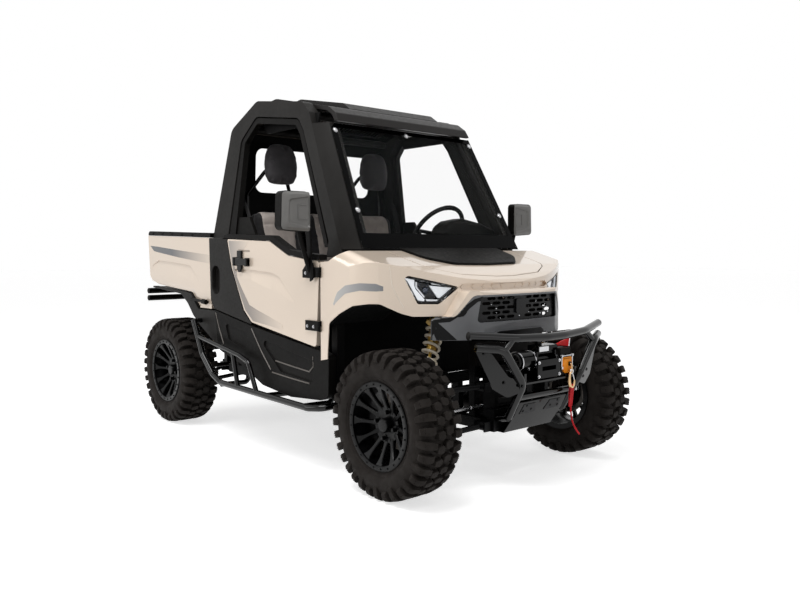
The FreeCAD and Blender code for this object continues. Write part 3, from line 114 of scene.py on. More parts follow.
class Nodes:
    """A material's node tree, with short ways to add and join nodes."""

    def __init__(self, name):
        self.material = bpy.data.materials.new(name)
        self.material.use_nodes = True
        self.tree = self.material.node_tree
        self.shader = self.tree.nodes["Principled BSDF"]

    def add(self, kind, **values):
        node = self.tree.nodes.new(kind)
        for key, value in values.items():
            if hasattr(node, key):
                setattr(node, key, value)
            else:
                node.inputs[key.replace("_", " ")].default_value = value
        return node

    def join(self, source, target):
        self.tree.links.new(source, target)

    def set(self, **values):
        for key, value in values.items():
            self.shader.inputs[key.replace("_", " ")].default_value = value

    def place(self):
        return self.add("ShaderNodeTexCoord").outputs["Object"]

    def noise(self, scale, detail=4.0, stretch=None):
        """Noise in the part's own frame, with its size in cycles per metre."""
        noise = self.add("ShaderNodeTexNoise", Scale=scale, Detail=detail)
        where = self.place()
        if stretch:
            mapping = self.add("ShaderNodeMapping", Scale=stretch)
            self.join(where, mapping.inputs["Vector"])
            where = mapping.outputs["Vector"]
        self.join(where, noise.inputs["Vector"])
        return noise.outputs["Fac"]

    def spread(self, source, low=0.0, high=1.0, start=0.3, end=0.7):
        """A value that runs from low to high as the source does from start to end."""
        ramp = self.add("ShaderNodeMapRange")
        for key, value in (("From Min", start), ("From Max", end), ("To Min", low), ("To Max", high)):
            ramp.inputs[key].default_value = value
        self.join(source, ramp.inputs["Value"])
        return ramp.outputs["Result"]

    def tint(self, factor, first, second):
        """The base colour, mixed from two by a factor."""
        mixed = self.add("ShaderNodeMix", data_type="RGBA")
        self.join(factor, mixed.inputs["Factor"])
        mixed.inputs["A"].default_value = (*first, 1)
        mixed.inputs["B"].default_value = (*second, 1)
        self.join(mixed.outputs["Result"], self.shader.inputs["Base Color"])

    def roughness(self, scale, detail, low, high):
        self.join(self.spread(self.noise(scale, detail), low, high), self.shader.inputs["Roughness"])

    def bump(self, height, strength, distance):
        node = self.add("ShaderNodeBump", Strength=strength, Distance=distance)
        self.join(height, node.inputs["Height"])
        self.join(node.outputs["Normal"], self.shader.inputs["Normal"])


def moulded(n, colour, rough=0.5, grain=0.25, grain_scale=900.0, gloss=0.2):
    """Moulded plastic: fine leather-like grain, and slow changes of gloss and tone."""
    n.set(Specular_IOR_Level=gloss)
    n.tint(n.spread(n.noise(7.0, 5.0)), colour, scaled(colour, 1.3, 0.002))
    n.roughness(60.0, 6.0, rough - 0.06, rough + 0.08)
    n.bump(n.noise(grain_scale, 3.0), grain, 0.0004)


def coated(n, colour, rough, coat, gloss=0.3, metallic=0.0, ripple=0.05):
    """Paint or powder coat under a clear layer, with a faint ripple."""
    n.set(Metallic=metallic, Coat_Weight=coat, Coat_Roughness=0.06, Specular_IOR_Level=gloss)
    n.tint(n.spread(n.noise(4.0, 3.0)), scaled(colour, 0.96), colour)
    n.roughness(45.0, 5.0, rough - 0.04, rough + 0.05)
    n.bump(n.noise(260.0, 2.0), ripple, 0.0003)


def flaked_paint(n, colour):
    """Pearl body paint: fine flakes in a soft base under clear coat."""
    n.set(Metallic=0.25, Coat_Weight=1.0, Coat_Roughness=0.04, Roughness=0.36)
    flakes = n.add("ShaderNodeTexVoronoi", Scale=2600.0)
    n.join(n.place(), flakes.inputs["Vector"])
    n.tint(n.spread(flakes.outputs["Distance"], 1.0, 0.0, 0.05, 0.6), colour, scaled(colour, 1.07))
    n.bump(n.noise(180.0, 2.0), 0.03, 0.0003)


def rubber(n, colour, rough=0.78):
    """Tyre rubber: dull, dusty in the grooves, with a fine skin."""
    n.set(Specular_IOR_Level=0.12)
    n.tint(n.spread(n.noise(14.0, 6.0), 0.0, 1.0, 0.35, 0.7), colour, scaled(colour, 1.5, 0.004))
    n.roughness(40.0, 5.0, rough - 0.12, rough + 0.08)
    n.bump(n.noise(420.0, 4.0), 0.35, 0.0006)


def metal(n, colour, rough, stretch=(1, 1, 1), wear=0.1):
    """Bare or plated metal with fine lines along its finish."""
    n.set(Metallic=1.0)
    fine = n.noise(300.0, 4.0, stretch)
    n.tint(n.spread(fine), colour, scaled(colour, 0.8))
    n.roughness(50.0, 5.0, rough - 0.05, rough + wear)
    n.bump(fine, 0.08, 0.0002)


def woven(n, colour, thread=1400.0):
    """Cloth with crossing threads and a soft sheen."""
    n.set(Sheen_Weight=0.2, Sheen_Roughness=0.5, Specular_IOR_Level=0.2, Roughness=0.85)
    cross = n.add("ShaderNodeMath", operation="MULTIPLY")
    where = n.place()
    for index, direction in enumerate(("X", "Z")):
        threads = n.add("ShaderNodeTexWave", Scale=thread / 20, Distortion=0.4,
                        bands_direction=direction)
        n.join(where, threads.inputs["Vector"])
        n.join(threads.outputs["Fac"], cross.inputs[index])
    n.tint(n.spread(n.noise(22.0, 5.0)), colour, scaled(colour, 1.3))
    n.bump(cross.outputs["Value"], 0.3, 0.0005)


def clear(n, tint):
    """A clear sheet: see-through face on, more of a mirror at a slant."""
    n.set(Roughness=0.02, IOR=1.45, Base_Color=(*tint, 1))
    weight = n.add("ShaderNodeLayerWeight", Blend=0.35)
    n.join(n.spread(weight.outputs["Facing"], 0.03, 0.14, 0.4, 1.0), n.shader.inputs["Alpha"])


def faded(n, colour, other, start, end):
    """Paint whose colour runs from one tone to another between two places along the part."""
    n.set(Metallic=0.2, Coat_Weight=1.0, Coat_Roughness=0.05, Roughness=0.38)
    parts = n.add("ShaderNodeSeparateXYZ")
    n.join(n.place(), parts.inputs["Vector"])
    n.tint(n.spread(parts.outputs["X"], 0.0, 1.0, start, end), colour, other)
    n.bump(n.noise(180.0, 2.0), 0.03, 0.0003)


champagne = srgb(216, 199, 181)
recipes = {
    flaked_paint: {"body_pearl": (champagne,)},
    moulded: {
        "shell_black": (srgb(32, 31, 30), 0.42, 0.2, 1100, 0.08),
        "roof_black": (srgb(18, 15, 13), 0.34, 0.15, 1100, 0.14),
        "trim_black": (srgb(17, 16, 15), 0.44, 0.3, 800, 0.06),
        "handle_black": (srgb(12, 12, 12), 0.3, 0.1),
        "deep_black": (srgb(7, 7, 7), 0.6, 0.3, 700, 0.05),
        "fascia_grey": (srgb(98, 99, 101), 0.34, 0.2, 1000, 0.4),
        "grille_black": (srgb(20, 20, 21), 0.3, 0.1),
        "cab_black": (srgb(11, 11, 11), 0.62, 0.5, 600, 0.08),
        "mirror_grey": (srgb(100, 99, 97), 0.36, 0.15, 1000, 0.4),
        # The ridge grey paints highlights along the sill's ridges.
        "ridge_highlight_grey": (srgb(92, 88, 84), 0.35, 0.15, 1000),
        "orange_cover": (srgb(238, 138, 34), 0.35, 0.1),
        "red_cap": (srgb(198, 24, 30), 0.35, 0.1),
    },
    coated: {
        "skid_grey": (srgb(50, 50, 51), 0.42, 0.0, 0.1),
        "powder_black": (srgb(7, 7, 8), 0.16, 0.22, 0.06),
        "gloss_black": (srgb(6, 6, 7), 0.1, 0.55, 0.06, 0.0, 0.01),
        "chassis_black": (srgb(10, 10, 11), 0.45, 0.0, 0.1),
        "rim_black": (srgb(8, 8, 9), 0.3, 0.0, 0.16),
        "calliper_brown": (srgb(96, 84, 74), 0.4, 0.3),
        "spring_cream": (srgb(222, 210, 188), 0.35, 0.6),
        "lamp_white": (srgb(244, 246, 250), 0.2, 1.0),
        "lamp_blue": (srgb(12, 16, 26), 0.1, 0.3),
        "lamp_ball": (srgb(40, 50, 70), 0.04, 1.0, 0.3, 0.3),
        "lamp_black": (srgb(5, 5, 6), 0.12, 0.4, 0.2),
        "glass_black": (srgb(7, 7, 8), 0.2, 0.0, 0.04),
        "shade_black": (srgb(9, 9, 10), 0.4, 0.0, 0.15),
        "tail_red": (srgb(150, 14, 18), 0.12, 1.0),
        # The pale tick colour paints the nose's chevron ticks, and also a highlight along the fender's
        # front seam.
        "pale_tick_and_highlight": (srgb(238, 226, 212), 0.3, 1.0),
        "slot_shade": (srgb(150, 136, 122), 0.4, 0.6),
    },
    metal: {
        "dark_iron": (srgb(26, 24, 23), 0.5),
        "bright_steel": (srgb(196, 196, 198), 0.24),
        "disc_steel": (srgb(96, 92, 88), 0.35),
        "silver_plate": (srgb(212, 213, 215), 0.32, (1, 8, 1)),
        "mirror_silver": (srgb(206, 210, 214), 0.06, (1, 1, 1), 0.03),
        "bronze_plate": (srgb(206, 172, 130), 0.3),
        "gold_tube": (srgb(196, 160, 84), 0.3),
        "lamp_chrome": (srgb(222, 224, 228), 0.12),
    },
    rubber: {"tyre_rubber": (srgb(33, 30, 28),), "grip_rubber": (srgb(20, 20, 21), 0.5)},
    woven: {
        "seat_grey": (srgb(158, 149, 143),),
        "seat_black": (srgb(34, 33, 34), 1800),
        "head_grey": (srgb(66, 64, 66), 1800),
        "webbing_red": (srgb(186, 18, 30), 3000),
    },
    clear: {"sheet_clear": ((0.05, 0.06, 0.06),), "lamp_clear": ((0.03, 0.04, 0.05),)},
    faded: {
        "slate_fade": (srgb(46, 50, 56), champagne, rear(0.02), rear(0.56)),
        # The door's two fades are painted shade: darker at the door's top rear corner and in a band down
        # from its rear edge, fading into the paint.
        "door_fade": (srgb(128, 121, 117), champagne, rear(0.76), rear(1.00)),
        "band_shade_fade": (srgb(128, 118, 110), champagne, rear(1.00), rear(1.33)),
        "fender_fade": (srgb(176, 174, 172), srgb(92, 95, 100), front(-0.35), front(-0.02)),
    },
}
looks = {}
for recipe, rows in recipes.items():
    for name, values in rows.items():
        n = Nodes(name)
        recipe(n, *values)
        # The lamp white also glows faintly: painted light on the headlamps' white parts, the tail lamps'
        # white lenses and the tow plate's edge strip.
        if name == "lamp_white":
            n.set(Emission_Color=(0.9, 0.95, 1.0, 1), Emission_Strength=0.35)
        looks[name] = n.material

finishes = {
    "body_pearl": "door_left door_right front_fenders nose_panel hood bed",
    "shell_black": "cage pillar_covers rear_fenders",
    "roof_black": "roof",
    "fascia_grey": "front_fascia",
    "grille_black": "grille",
    "deep_black": "inner_fenders rear_panel cab_floor",
    "cab_black": "dashboard",
    "chassis_black": "frame frame_towers hinge_posts control_arms rack_housing",
    "dark_iron": "drivetrain knuckle_left knuckle_right rear_knuckles engine exhaust radiator",
    "bright_steel": "steering_rack",
    "gold_tube": "shocks",
    "spring_cream": "springs",
    "sheet_clear": "windshield",
    "trim_black": "rocker_panels door_trim_left door_trim_right hood_insert bed_rails tailgate",
    "gloss_black": "front_bumper step_bars",
    "powder_black": "rear_bumper headrest_loops hitch_receiver skid_plate winch",
    "bronze_plate": "winch_hook",
    "webbing_red": "hook_strap",
    "rim_black": "rim_front_left rim_front_right rim_rear_left rim_rear_right",
    "tyre_rubber": "tyre_front_left tyre_front_right tyre_rear_left tyre_rear_right",
    "grip_rubber": "steering_wheel",
    "seat_grey": "seat_cushions seat_backs",
    "head_grey": "headrests",
    "lamp_clear": "headlamps",
}
edge_widths = {
    1: "grille",
    2: "skid_plate",
    3: "hood bed_rails rear_panel",
    4: "door_left door_right front_fenders nose_panel rear_fenders door_trim_left door_trim_right "
       "tailgate",
    5: "bed pillar_covers rocker_panels front_fascia",
    6: "hood_insert",
    7: "cage",
    8: "roof dashboard",
}
softened = {name: width / 1000 for width, names in edge_widths.items() for name in names.split()}


def soften(thing, width, segments, angle):
    """Rounded edges with evenly shaded faces between them."""
    bevel = thing.modifiers.new("bevel", "BEVEL")
    bevel.width = width
    bevel.segments = segments
    bevel.limit_method = "ANGLE"
    bevel.angle_limit = math.radians(angle)
    thing.modifiers.new("normals", "WEIGHTED_NORMAL").keep_sharp = False


def split_edges(thing, angle):
    thing.modifiers.new("split", "EDGE_SPLIT").split_angle = math.radians(angle)


def smooth_faces(mesh):
    for polygon in mesh.polygons:
        polygon.use_smooth = True


def finish_node(node):
    """Smooth faces, joined corners and softened edges on a carried-over solid."""
    smooth_faces(node.data)
    node.modifiers.new("weld", "WELD").merge_threshold = 0.00002
    if node.name in softened:
        flat = node.modifiers.new("flat", "DECIMATE")
        flat.decimate_type = "DISSOLVE"
        flat.angle_limit = math.radians(0.05)
        soften(node, softened[node.name], 3, 24)
    else:
        split_edges(node, 32)


for look, names in finishes.items():
    for name in names.split():
        nodes[name].data.materials.clear()
        nodes[name].data.materials.append(looks[look])
        finish_node(nodes[name])


# Mesh helpers

def built(name, build):
    """A mesh that build fills."""
    mesh = bpy.data.meshes.new(name)
    bm = bmesh.new()
    build(bm)
    bmesh.ops.recalc_face_normals(bm, faces=bm.faces)
    bm.to_mesh(mesh)
    bm.free()
    return mesh


def carried(thing, body, replaces=()):
    """The piece on its body and the node that it stands for."""
    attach(thing, body)
    if replaces:
        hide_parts(*replaces)
    return thing


def piece(name, build, look, slot, body="chassis", **details):
    """An object from a bmesh that build fills, riding on a body."""
    mesh = built(name, build)
    mesh.materials.append(looks[look])
    return dressed(name, mesh, slot, body, **details)


def dressed(name, mesh, slot, body="chassis", bevel=0.0, segments=2, subdivide=0, smooth=30,
            replaces=()):
    """An object for a mesh, with its edge softening and body."""
    thing = linked(name, mesh)
    smooth_faces(mesh)
    if bevel:
        soften(thing, bevel, segments, 30)
    if subdivide:
        if bevel:
            thing.modifiers.remove(thing.modifiers["normals"])
        modifier = thing.modifiers.new("subdivide", "SUBSURF")
        modifier.levels = subdivide
        modifier.render_levels = subdivide
    if not bevel and not subdivide:
        split_edges(thing, smooth)
    return carried(thing, body, replaces)


def pair(name, build, look, slot, body="chassis", **details):
    """The left and the right piece of a kind, where build is also given the side's sign."""
    for side, way in sides:
        carrier = body.format(side=side)
        piece(f"{name}_{side}", lambda bm: build(bm, way), look, slot, carrier, **details)


def loft(bm, sections):
    """Faces between rings of points, each ring as long as the last, and over both ends."""
    rings = [[bm.verts.new(p) for p in section] for section in sections]
    for low, high in zip(rings, rings[1:]):
        count = len(low)
        for i in range(count):
            j = (i + 1) % count
            bm.faces.new((low[i], low[j], high[j], high[i]))
    bm.faces.new(list(reversed(rings[0])))
    bm.faces.new(rings[-1])


def turned_ring(bm, profile, segments, centre=Vector((0, 0, 0)), closed=True):
    """A profile of (y, radius) points turned about the Y axis."""
    rings = []
    for i in range(segments):
        angle = 2 * math.pi * i / segments
        c, s = math.cos(angle), math.sin(angle)
        rings.append([bm.verts.new(centre + Vector((r * s, y, r * c))) for y, r in profile])
    count = len(profile)
    for i in range(segments):
        this, after = rings[i], rings[(i + 1) % segments]
        for j in range(count if closed else count - 1):
            k = (j + 1) % count
            bm.faces.new((this[j], this[k], after[k], after[j]))


def prism(bm, outline, offset):
    """A closed outline of points swept along an offset."""
    low = [Vector(p) for p in outline]
    loft(bm, [low, [p + Vector(offset) for p in low]])


def oblong(x, y, z, half_x, half_y):
    """The corners of a level rectangle round a point."""
    return [(x - half_x, y - half_y, z), (x + half_x, y - half_y, z), (x + half_x, y + half_y, z),
            (x - half_x, y + half_y, z)]


def brick(bm, low, high):
    """A box between two corners."""
    x0, y0, z0 = low
    x1, y1, z1 = high
    prism(bm, [(x0, y0, z0), (x1, y0, z0), (x1, y1, z0), (x0, y1, z0)], (0, 0, z1 - z0))


def circle(centre, line, radius, segments):
    """Points round a centre, square to a line."""
    aside = line.orthogonal().normalized()
    up = line.cross(aside)
    angles = [2 * math.pi * i / segments for i in range(segments)]
    return [centre + aside * (radius * math.cos(a)) + up * (radius * math.sin(a)) for a in angles]


def rod(bm, start, end, radius, segments=16, far=None):
    """A round bar from one point to another, or a cone."""
    start, end = Vector(start), Vector(end)
    line = (end - start).normalized()
    loft(bm, [circle(start, line, radius, segments),
              circle(end, line, radius if far is None else far, segments)])


def rods(bm, line, radius, segments=8):
    """Round bars along a line of points."""
    for a, b in zip(line, line[1:]):
        rod(bm, a, b, radius, segments)


def bolt(bm, at, direction, radius, height):
    """A hexagon head on a washer."""
    at, line = Vector(at), Vector(direction).normalized()
    rod(bm, at, at + line * height * 0.3, radius * 1.45, 18)
    rod(bm, at + line * height * 0.3, at + line * height, radius, 6, radius * 0.92)


def dome(bm, at, direction, radius, height, segments=24):
    """A low dome standing on a point."""
    at, line = Vector(at), Vector(direction).normalized()
    loft(bm, [circle(at + line * height * share, line, radius * math.sqrt(1 - share ** 2), segments)
              for share in (0.0, 0.3, 0.55, 0.75, 0.9, 0.98)])


def tube_curve(name, points, radius, round_steps=5, along_steps=10):
    """A round curve along a NURBS line through control points."""
    curve = bpy.data.curves.new(name, "CURVE")
    curve.dimensions = "3D"
    curve.bevel_depth = radius
    curve.bevel_resolution = round_steps
    curve.use_fill_caps = True
    curve.resolution_u = along_steps
    spline = curve.splines.new("NURBS")
    spline.points.add(len(points) - 1)
    for point, place in zip(spline.points, points):
        point.co = (*place, 1)
    spline.order_u = 3
    spline.use_endpoint_u = True
    return curve


def bent_tube(name, points, radius, look, replaces=()):
    """A smooth tube that rides on the chassis."""
    curve = tube_curve(name, points, radius)
    curve.materials.append(looks[look])
    return carried(linked(name, curve), "chassis", replaces)


def mm(points):
    """Points given in millimetres, in metres."""
    return [tuple(v / 1000 for v in p) for p in points]


def beside(axle, points):
    """Side view points in metres, from millimetres ahead of an axle and above ground."""
    return [(axle + x / 1000, z / 1000) for x, z in points]


# The strap on the winch hook, from the hook to its bare lower end

winch_x, winch_z = front(0.294), 0.590
hook_x, hook_y = winch_x + 0.082, 0.148
strap_width = 0.008
strap_route = [(front(x), y, z) for x, y, z in (
    (0.376, hook_y, 0.4446), (0.379, 0.140, 0.396), (0.383, 0.134, 0.340), (0.384, 0.152, 0.270),
    (0.382, 0.206, 0.220))]


def webbing_tab(bm):
    """The strap's wide end, folded round the hook and sewn to the strap."""
    def middle(z):
        return hook_x + 0.0012 + (0.4446 - z) * 0.05, hook_y + (z - 0.455) * 0.16
    half, thin = 0.0135, 0.0009
    places = [(0.4660, 0.002, 1.0), (0.4500, 0.0045, 1.0), (0.4300, 0.004, 1.0), (0.4000, 0.0025, 0.98),
              (0.3720, 0.0018, 0.92), (0.3640, 0.0014, 0.85)]
    for way in ways:
        sections = []
        for z, out, share in places:
            x, y = middle(z)
            x += way * out
            sections.append(oblong(x, y, z, thin, half * share))
        loft(bm, sections)
    for z in (0.396, 0.388, 0.380, 0.372):
        x, y = middle(z)
        for k in range(-4, 5):
            stitch = y + k * 0.0026
            rod(bm, (x + 0.0030, stitch - 0.001, z), (x + 0.0030, stitch + 0.001, z), 0.0004, 6)


def add_strap():
    curve = tube_curve("strap_cord", strap_route, strap_width / 2, 4, 16)
    curve.materials.append(looks["webbing_red"])
    strap = carried(linked("strap_cord", curve), "chassis", ["hook_strap"])
    tab = piece("strap_tab", webbing_tab, "webbing_red", "strap_webbing", smooth=40)
    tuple(strap_route[0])


add_strap()


# Wheels, made with the outer face towards -Y and the axle through the origin

def turned_way(thing, way, place):
    """The thing at a wheel's place, with its outer face outwards."""
    thing.location = place
    if way > 0:
        thing.rotation_euler = (0, 0, math.pi)


def round_y(count, start=0.0):
    """Turns about the Y axis that divide a circle evenly."""
    return [Matrix.Rotation(2 * math.pi * (i + start) / count, 3, "Y") for i in range(count)]


def on_tyre(along, y, radius, turn):
    """A point this far round the tread from an angle."""
    angle = turn + along / tyre_radius
    return Vector((radius * math.sin(angle), y, radius * math.cos(angle)))


def tyre_shape(bm):
    """Sidewalls with bead ridges, two rows of side lugs with grooves, and a row of crown blocks."""
    side = [(0.0925, 0.190), (0.0935, 0.199), (0.0975, 0.206), (0.103, 0.214), (0.1075, 0.224),
            (0.110, 0.238), (0.1105, 0.252), (0.1085, 0.266), (0.104, 0.279), (0.097, 0.290),
            (0.086, 0.298), (0.070, 0.304), (0.045, 0.308), (0.015, tyre_radius - 0.019)]
    turned_ring(bm, side + [(-y, r) for y, r in reversed(side)], 102)
    for base, radius in ((0.0985, 0.2085), (0.1035, 0.216)):
        for way in ways:
            turned_ring(bm, [(way * (base + dy), radius + dr)
                             for dy, dr in ((-0.002, -0.0015), (0.0022, 0), (-0.002, 0.0015))], 102)
    # Each row: top (y, radius), foot (y, radius), half width, shift round the tread
    long_lug = [((0.047, 0.3300), (0.047, 0.305), 0.0150, 0.006),
                ((0.068, 0.3298), (0.066, 0.302), 0.0180, 0.001),
                ((0.090, 0.3265), (0.086, 0.296), 0.0190, -0.002),
                ((0.1035, 0.3180), (0.094, 0.288), 0.0185, -0.002),
                ((0.1115, 0.3020), (0.100, 0.280), 0.0175, -0.001),
                ((0.1135, 0.2840), (0.104, 0.270), 0.0160, 0.0),
                ((0.1128, 0.2660), (0.106, 0.258), 0.0145, 0.0)]
    short_lug = [((0.056, 0.3300), (0.056, 0.304), 0.0160, -0.004)] + long_lug[1:5] + [
        ((0.1130, 0.2920), (0.103, 0.276), 0.0165, 0.0)]
    block = [(-0.0205, -0.008), (-0.011, -0.0215), (0.011, -0.0215), (0.0205, -0.006),
             (0.013, 0.0195), (-0.012, 0.0195)]
    block_y, lug_count = 0.0235, 34
    pitch = 2 * math.pi / lug_count
    for i in range(lug_count):
        for way in ways:
            turn = (i + (0.5 if way > 0 else 0.0)) * pitch
            lug = long_lug if i % 2 else short_lug
            rings = []
            for (y_top, r_top), (y_low, r_low), half, shift in lug:
                narrow = half - 0.0022
                rings.append([on_tyre(shift - half, way * y_low, r_low, turn),
                              on_tyre(shift - narrow, way * y_top, r_top, turn),
                              on_tyre(shift + narrow, way * y_top, r_top, turn),
                              on_tyre(shift + half, way * y_low, r_low, turn)])
            loft(bm, rings)
            (y_top, r_top), _, half, shift = lug[3]
            for at in (-0.3, 0.3):
                rib = [on_tyre(shift + at * half + d, way * (y_top + dy), r_top - 0.010, turn)
                       for d, dy in ((-0.0016, -0.004), (0.0016, -0.004), (0.0016, 0.0012),
                                     (-0.0016, 0.0012))]
                loft(bm, [rib, [p + Vector((0, way * 0.001, 0)) + p.normalized() * 0.009 for p in rib]])
            turn += (0.5 + 0.12 * way) * pitch
            sign = way if i % 2 else -way
            loft(bm, [[on_tyre(u * grow * sign, way * block_y + v * grow * way, radius, turn)
                       for u, v in block]
                      for radius, grow in ((0.303, 1.1), (tyre_radius - 0.0028, 1.0),
                                           (tyre_radius, 0.92))])
            rod(bm, on_tyre(0, way * block_y, tyre_radius - 0.001, turn),
                on_tyre(0, way * block_y, tyre_radius + 0.0001, turn), 0.0035, 8)


def rim_shape(bm):
    """A barrel with a bolted outer ring, twelve spokes, a hub with its cap, and lug nuts."""
    turned_ring(bm, [(-0.100, 0.1725), (-0.1015, 0.176), (-0.1015, 0.193), (-0.099, 0.1965),
                     (-0.0945, 0.1968), (-0.0945, 0.179), (-0.060, 0.1775), (-0.030, 0.165),
                     (0.030, 0.165), (0.060, 0.1775), (0.0945, 0.179), (0.0945, 0.1968),
                     (0.1015, 0.1968), (0.1015, 0.172), (0.060, 0.1715), (0.030, 0.159),
                     (-0.030, 0.159), (-0.060, 0.1715), (-0.092, 0.1725)], 96)
    for turn in round_y(24, 0.5):
        bolt(bm, turn @ Vector((0, -0.1012, 0.1845)), (0, -1, 0), 0.0036, 0.0045)
    # Each row: radius, half width, outer face
    spoke = [(0.060, 0.0150, -0.0450), (0.074, 0.0120, -0.0500), (0.094, 0.0090, -0.0580),
             (0.120, 0.0084, -0.0685), (0.144, 0.0105, -0.0790), (0.160, 0.0150, -0.0860),
             (0.173, 0.0230, -0.0920)]
    for turn in round_y(12):
        rings = []
        for r, half, face in spoke:
            edge = half - 0.0028
            rings.append([turn @ Vector(p) for p in (
                (-half, face + 0.020, r), (-half, face + 0.004, r), (-edge, face, r),
                (edge, face, r), (half, face + 0.004, r), (half, face + 0.020, r))])
        loft(bm, rings)
    turned_ring(bm, [(-0.020, 0.0), (-0.020, 0.072), (-0.038, 0.082), (-0.046, 0.080), (-0.0475, 0.074),
                     (-0.044, 0.050), (-0.040, 0.040), (-0.0400, 0.0)], 64, closed=False)
    turned_ring(bm, [(-0.038, 0.033), (-0.062, 0.032), (-0.069, 0.028), (-0.0705, 0.020),
                     (-0.069, 0.0)], 48, closed=False)
    for turn in round_y(4, 0.12):
        face, shoulder, tip, stud = [turn @ Vector((0, y, 0.060))
                                     for y in (-0.042, -0.047, -0.062, -0.065)]
        rod(bm, face, shoulder, 0.0155, 24)
        rod(bm, shoulder, tip, 0.0105, 6, 0.0095)
        rod(bm, tip, stud, 0.0065, 12)
    bmesh.ops.remove_doubles(bm, verts=bm.verts, dist=0.00001)


def place_wheels():
    tread, wheel = built("tyre_mesh", tyre_shape), built("rim_mesh", rim_shape)
    for mesh, look in ((tread, "tyre_rubber"), (wheel, "rim_black")):
        mesh.materials.append(looks[look])
        smooth_faces(mesh)
    for place, _, _, way, centre in wheels:
        tyre = linked("tyre_detail_" + place, tread)
        soften(tyre, 0.0016, 1, 35)
        rim = linked("rim_detail_" + place, wheel)
        split_edges(rim, 30)
        for thing, kind, slot in ((tyre, "tyre_", "tyre_rubber"), (rim, "rim_", "rim_metal")):
            turned_way(thing, way, centre)
            carried(thing, "wheel_" + place, [kind + place])


place_wheels()


def brake_disc(bm):
    turned_ring(bm, [(0.012, 0.062), (0.012, 0.118), (0.017, 0.118), (0.017, 0.062)], 72)
    for turn in round_y(6):
        corners = [turn @ Vector((x, 0.0125, z)) for x, z in ((-0.006, 0.036), (0.006, 0.036),
                                                              (0.006, 0.066), (-0.006, 0.066))]
        prism(bm, corners, (0, 0.004, 0))


def brake_calliper(bm):
    inner = [(0.088, -0.42 + 0.84 * k / 6) for k in range(7)]
    outer = [(0.140, 0.38 - 0.76 * k / 6) for k in range(7)]
    prism(bm, [(r * math.sin(a), -0.004, r * math.cos(a)) for r, a in inner + outer], (0, 0.036, 0))


for place, end, side, way, centre in wheels:
    disc = piece("brake_disc_" + place, brake_disc, "disc_steel", "rim_metal", "wheel_" + place,
                 bevel=0.0008)
    carrier = f"knuckle_{side}_body" if end == "front" else "chassis"
    calliper = piece("brake_calliper_" + place, brake_calliper, "calliper_brown", "knuckle_iron",
                     carrier, bevel=0.004, segments=3)
    for thing in (disc, calliper):
        turned_way(thing, way, centre)


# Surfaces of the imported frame, for the pieces that lie on them

def cast_tree(*names):
    """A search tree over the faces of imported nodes."""
    points, faces = [], []
    for name in names:
        mesh = nodes[name].data
        start = len(points)
        points += [v.co.copy() for v in mesh.vertices]
        faces += [[start + i for i in p.vertices] for p in mesh.polygons]
    return BVHTree.FromPolygons(points, faces)


def ahead(tree, y, z):
    """Where a line from the front first meets the tree's faces, or None."""
    return tree.ray_cast(Vector((3, y, z)), Vector((-1, 0, 0)))[0]


def above(tree, x, y, missed):
    """The height at which a line from the cab's inside meets the tree, or the one for a miss."""
    hit = tree.ray_cast(Vector((x, y, 1.3)), Vector((0, 0, 1)))[0]
    return missed if hit is None else hit.z


def on_front(tree, way, proud):
    """Places (half width, height) points on a tree's front, or on its nearest edge, this far proud."""
    def place(point):
        y, z = way * point[0], point[1]
        hit = ahead(tree, y, z)
        if hit is None:
            hit = tree.find_nearest(Vector((1.25, y, z)))[0]
        return hit + Vector(proud)
    return place


def on_side(tree, way, proud):
    """Places (x, height) points on a side panel's outer face."""
    def place(point):
        hit = tree.ray_cast(Vector((point[0], way * 2, point[1])), Vector((0, -way, 0)))[0]
        return hit + Vector((0, way * proud, 0))
    return place


def even_points(line, count):
    """Points an even distance apart along a line of points."""
    line = [Vector(p) for p in line]
    runs = [(a, b, (b - a).length) for a, b in zip(line, line[1:])]
    total = sum(run[2] for run in runs)
    placed = []
    for i in range(count):
        left = total * i / (count - 1)
        for a, b, length in runs:
            if left <= length + 1e-9:
                break
            left -= length
        placed.append(a.lerp(b, min(1.0, left / length)))
    return placed


def sampled(outline, radii, step=0.008):
    """A closed outline with rounded corners, as points a step apart."""
    corners = []
    for i, (at, radius) in enumerate(zip(outline, radii)):
        at = Vector(at)
        before, after = Vector(outline[i - 1]), Vector(outline[(i + 1) % len(outline)])
        back, forth = (before - at).normalized(), (after - at).normalized()
        trim = min(radius / math.tan(back.angle(forth) / 2), (before - at).length * 0.48,
                   (after - at).length * 0.48)
        a, b = at + back * trim, at + forth * trim
        corners.append([a * (1 - t) ** 2 + at * 2 * t * (1 - t) + b * t * t
                        for t in (0, 0.25, 0.5, 0.75, 1)])
    points = []
    for i, corner in enumerate(corners):
        points += corner
        run = corners[(i + 1) % len(corners)][0] - corner[-1]
        steps = int(run.length / step)
        points += [corner[-1] + run * (k / steps) for k in range(1, steps)]
    return points


def shrunk(points, inset):
    """A closed line of flat points moved inwards."""
    area = sum(a.x * b.y - b.x * a.y for a, b in zip(points, points[1:] + points[:1]))
    way = 1 if area > 0 else -1
    moved = []
    for i, at in enumerate(points):
        along = (points[(i + 1) % len(points)] - points[i - 1]).normalized()
        moved.append(at + Vector((-along.y, along.x)) * inset * way)
    return moved


def ribbon(bm, first, second, place, low_offset, count=12, across=4):
    """A strip between two flat lines, laid on a surface by place and thickened by an offset."""
    sections = []
    for a, b in zip(even_points(first, count), even_points(second, count)):
        top = [place(a.lerp(b, k / across)) for k in range(across + 1)]
        sections.append(top + [p + Vector(low_offset) for p in reversed(top)])
    loft(bm, sections)


def skin(bm, edge, place, low_offset):
    """A closed skin inside a flat edge, laid on a surface by place and thickened by an offset."""
    middle = sum(edge, Vector((0, 0))) / len(edge)
    outer = [[place(middle.lerp(p, share)) for p in edge] for share in (0.2, 0.4, 0.6, 0.8, 1.0)]
    loft(bm, outer + [[p + Vector(low_offset) for p in ring] for ring in reversed(outer)])


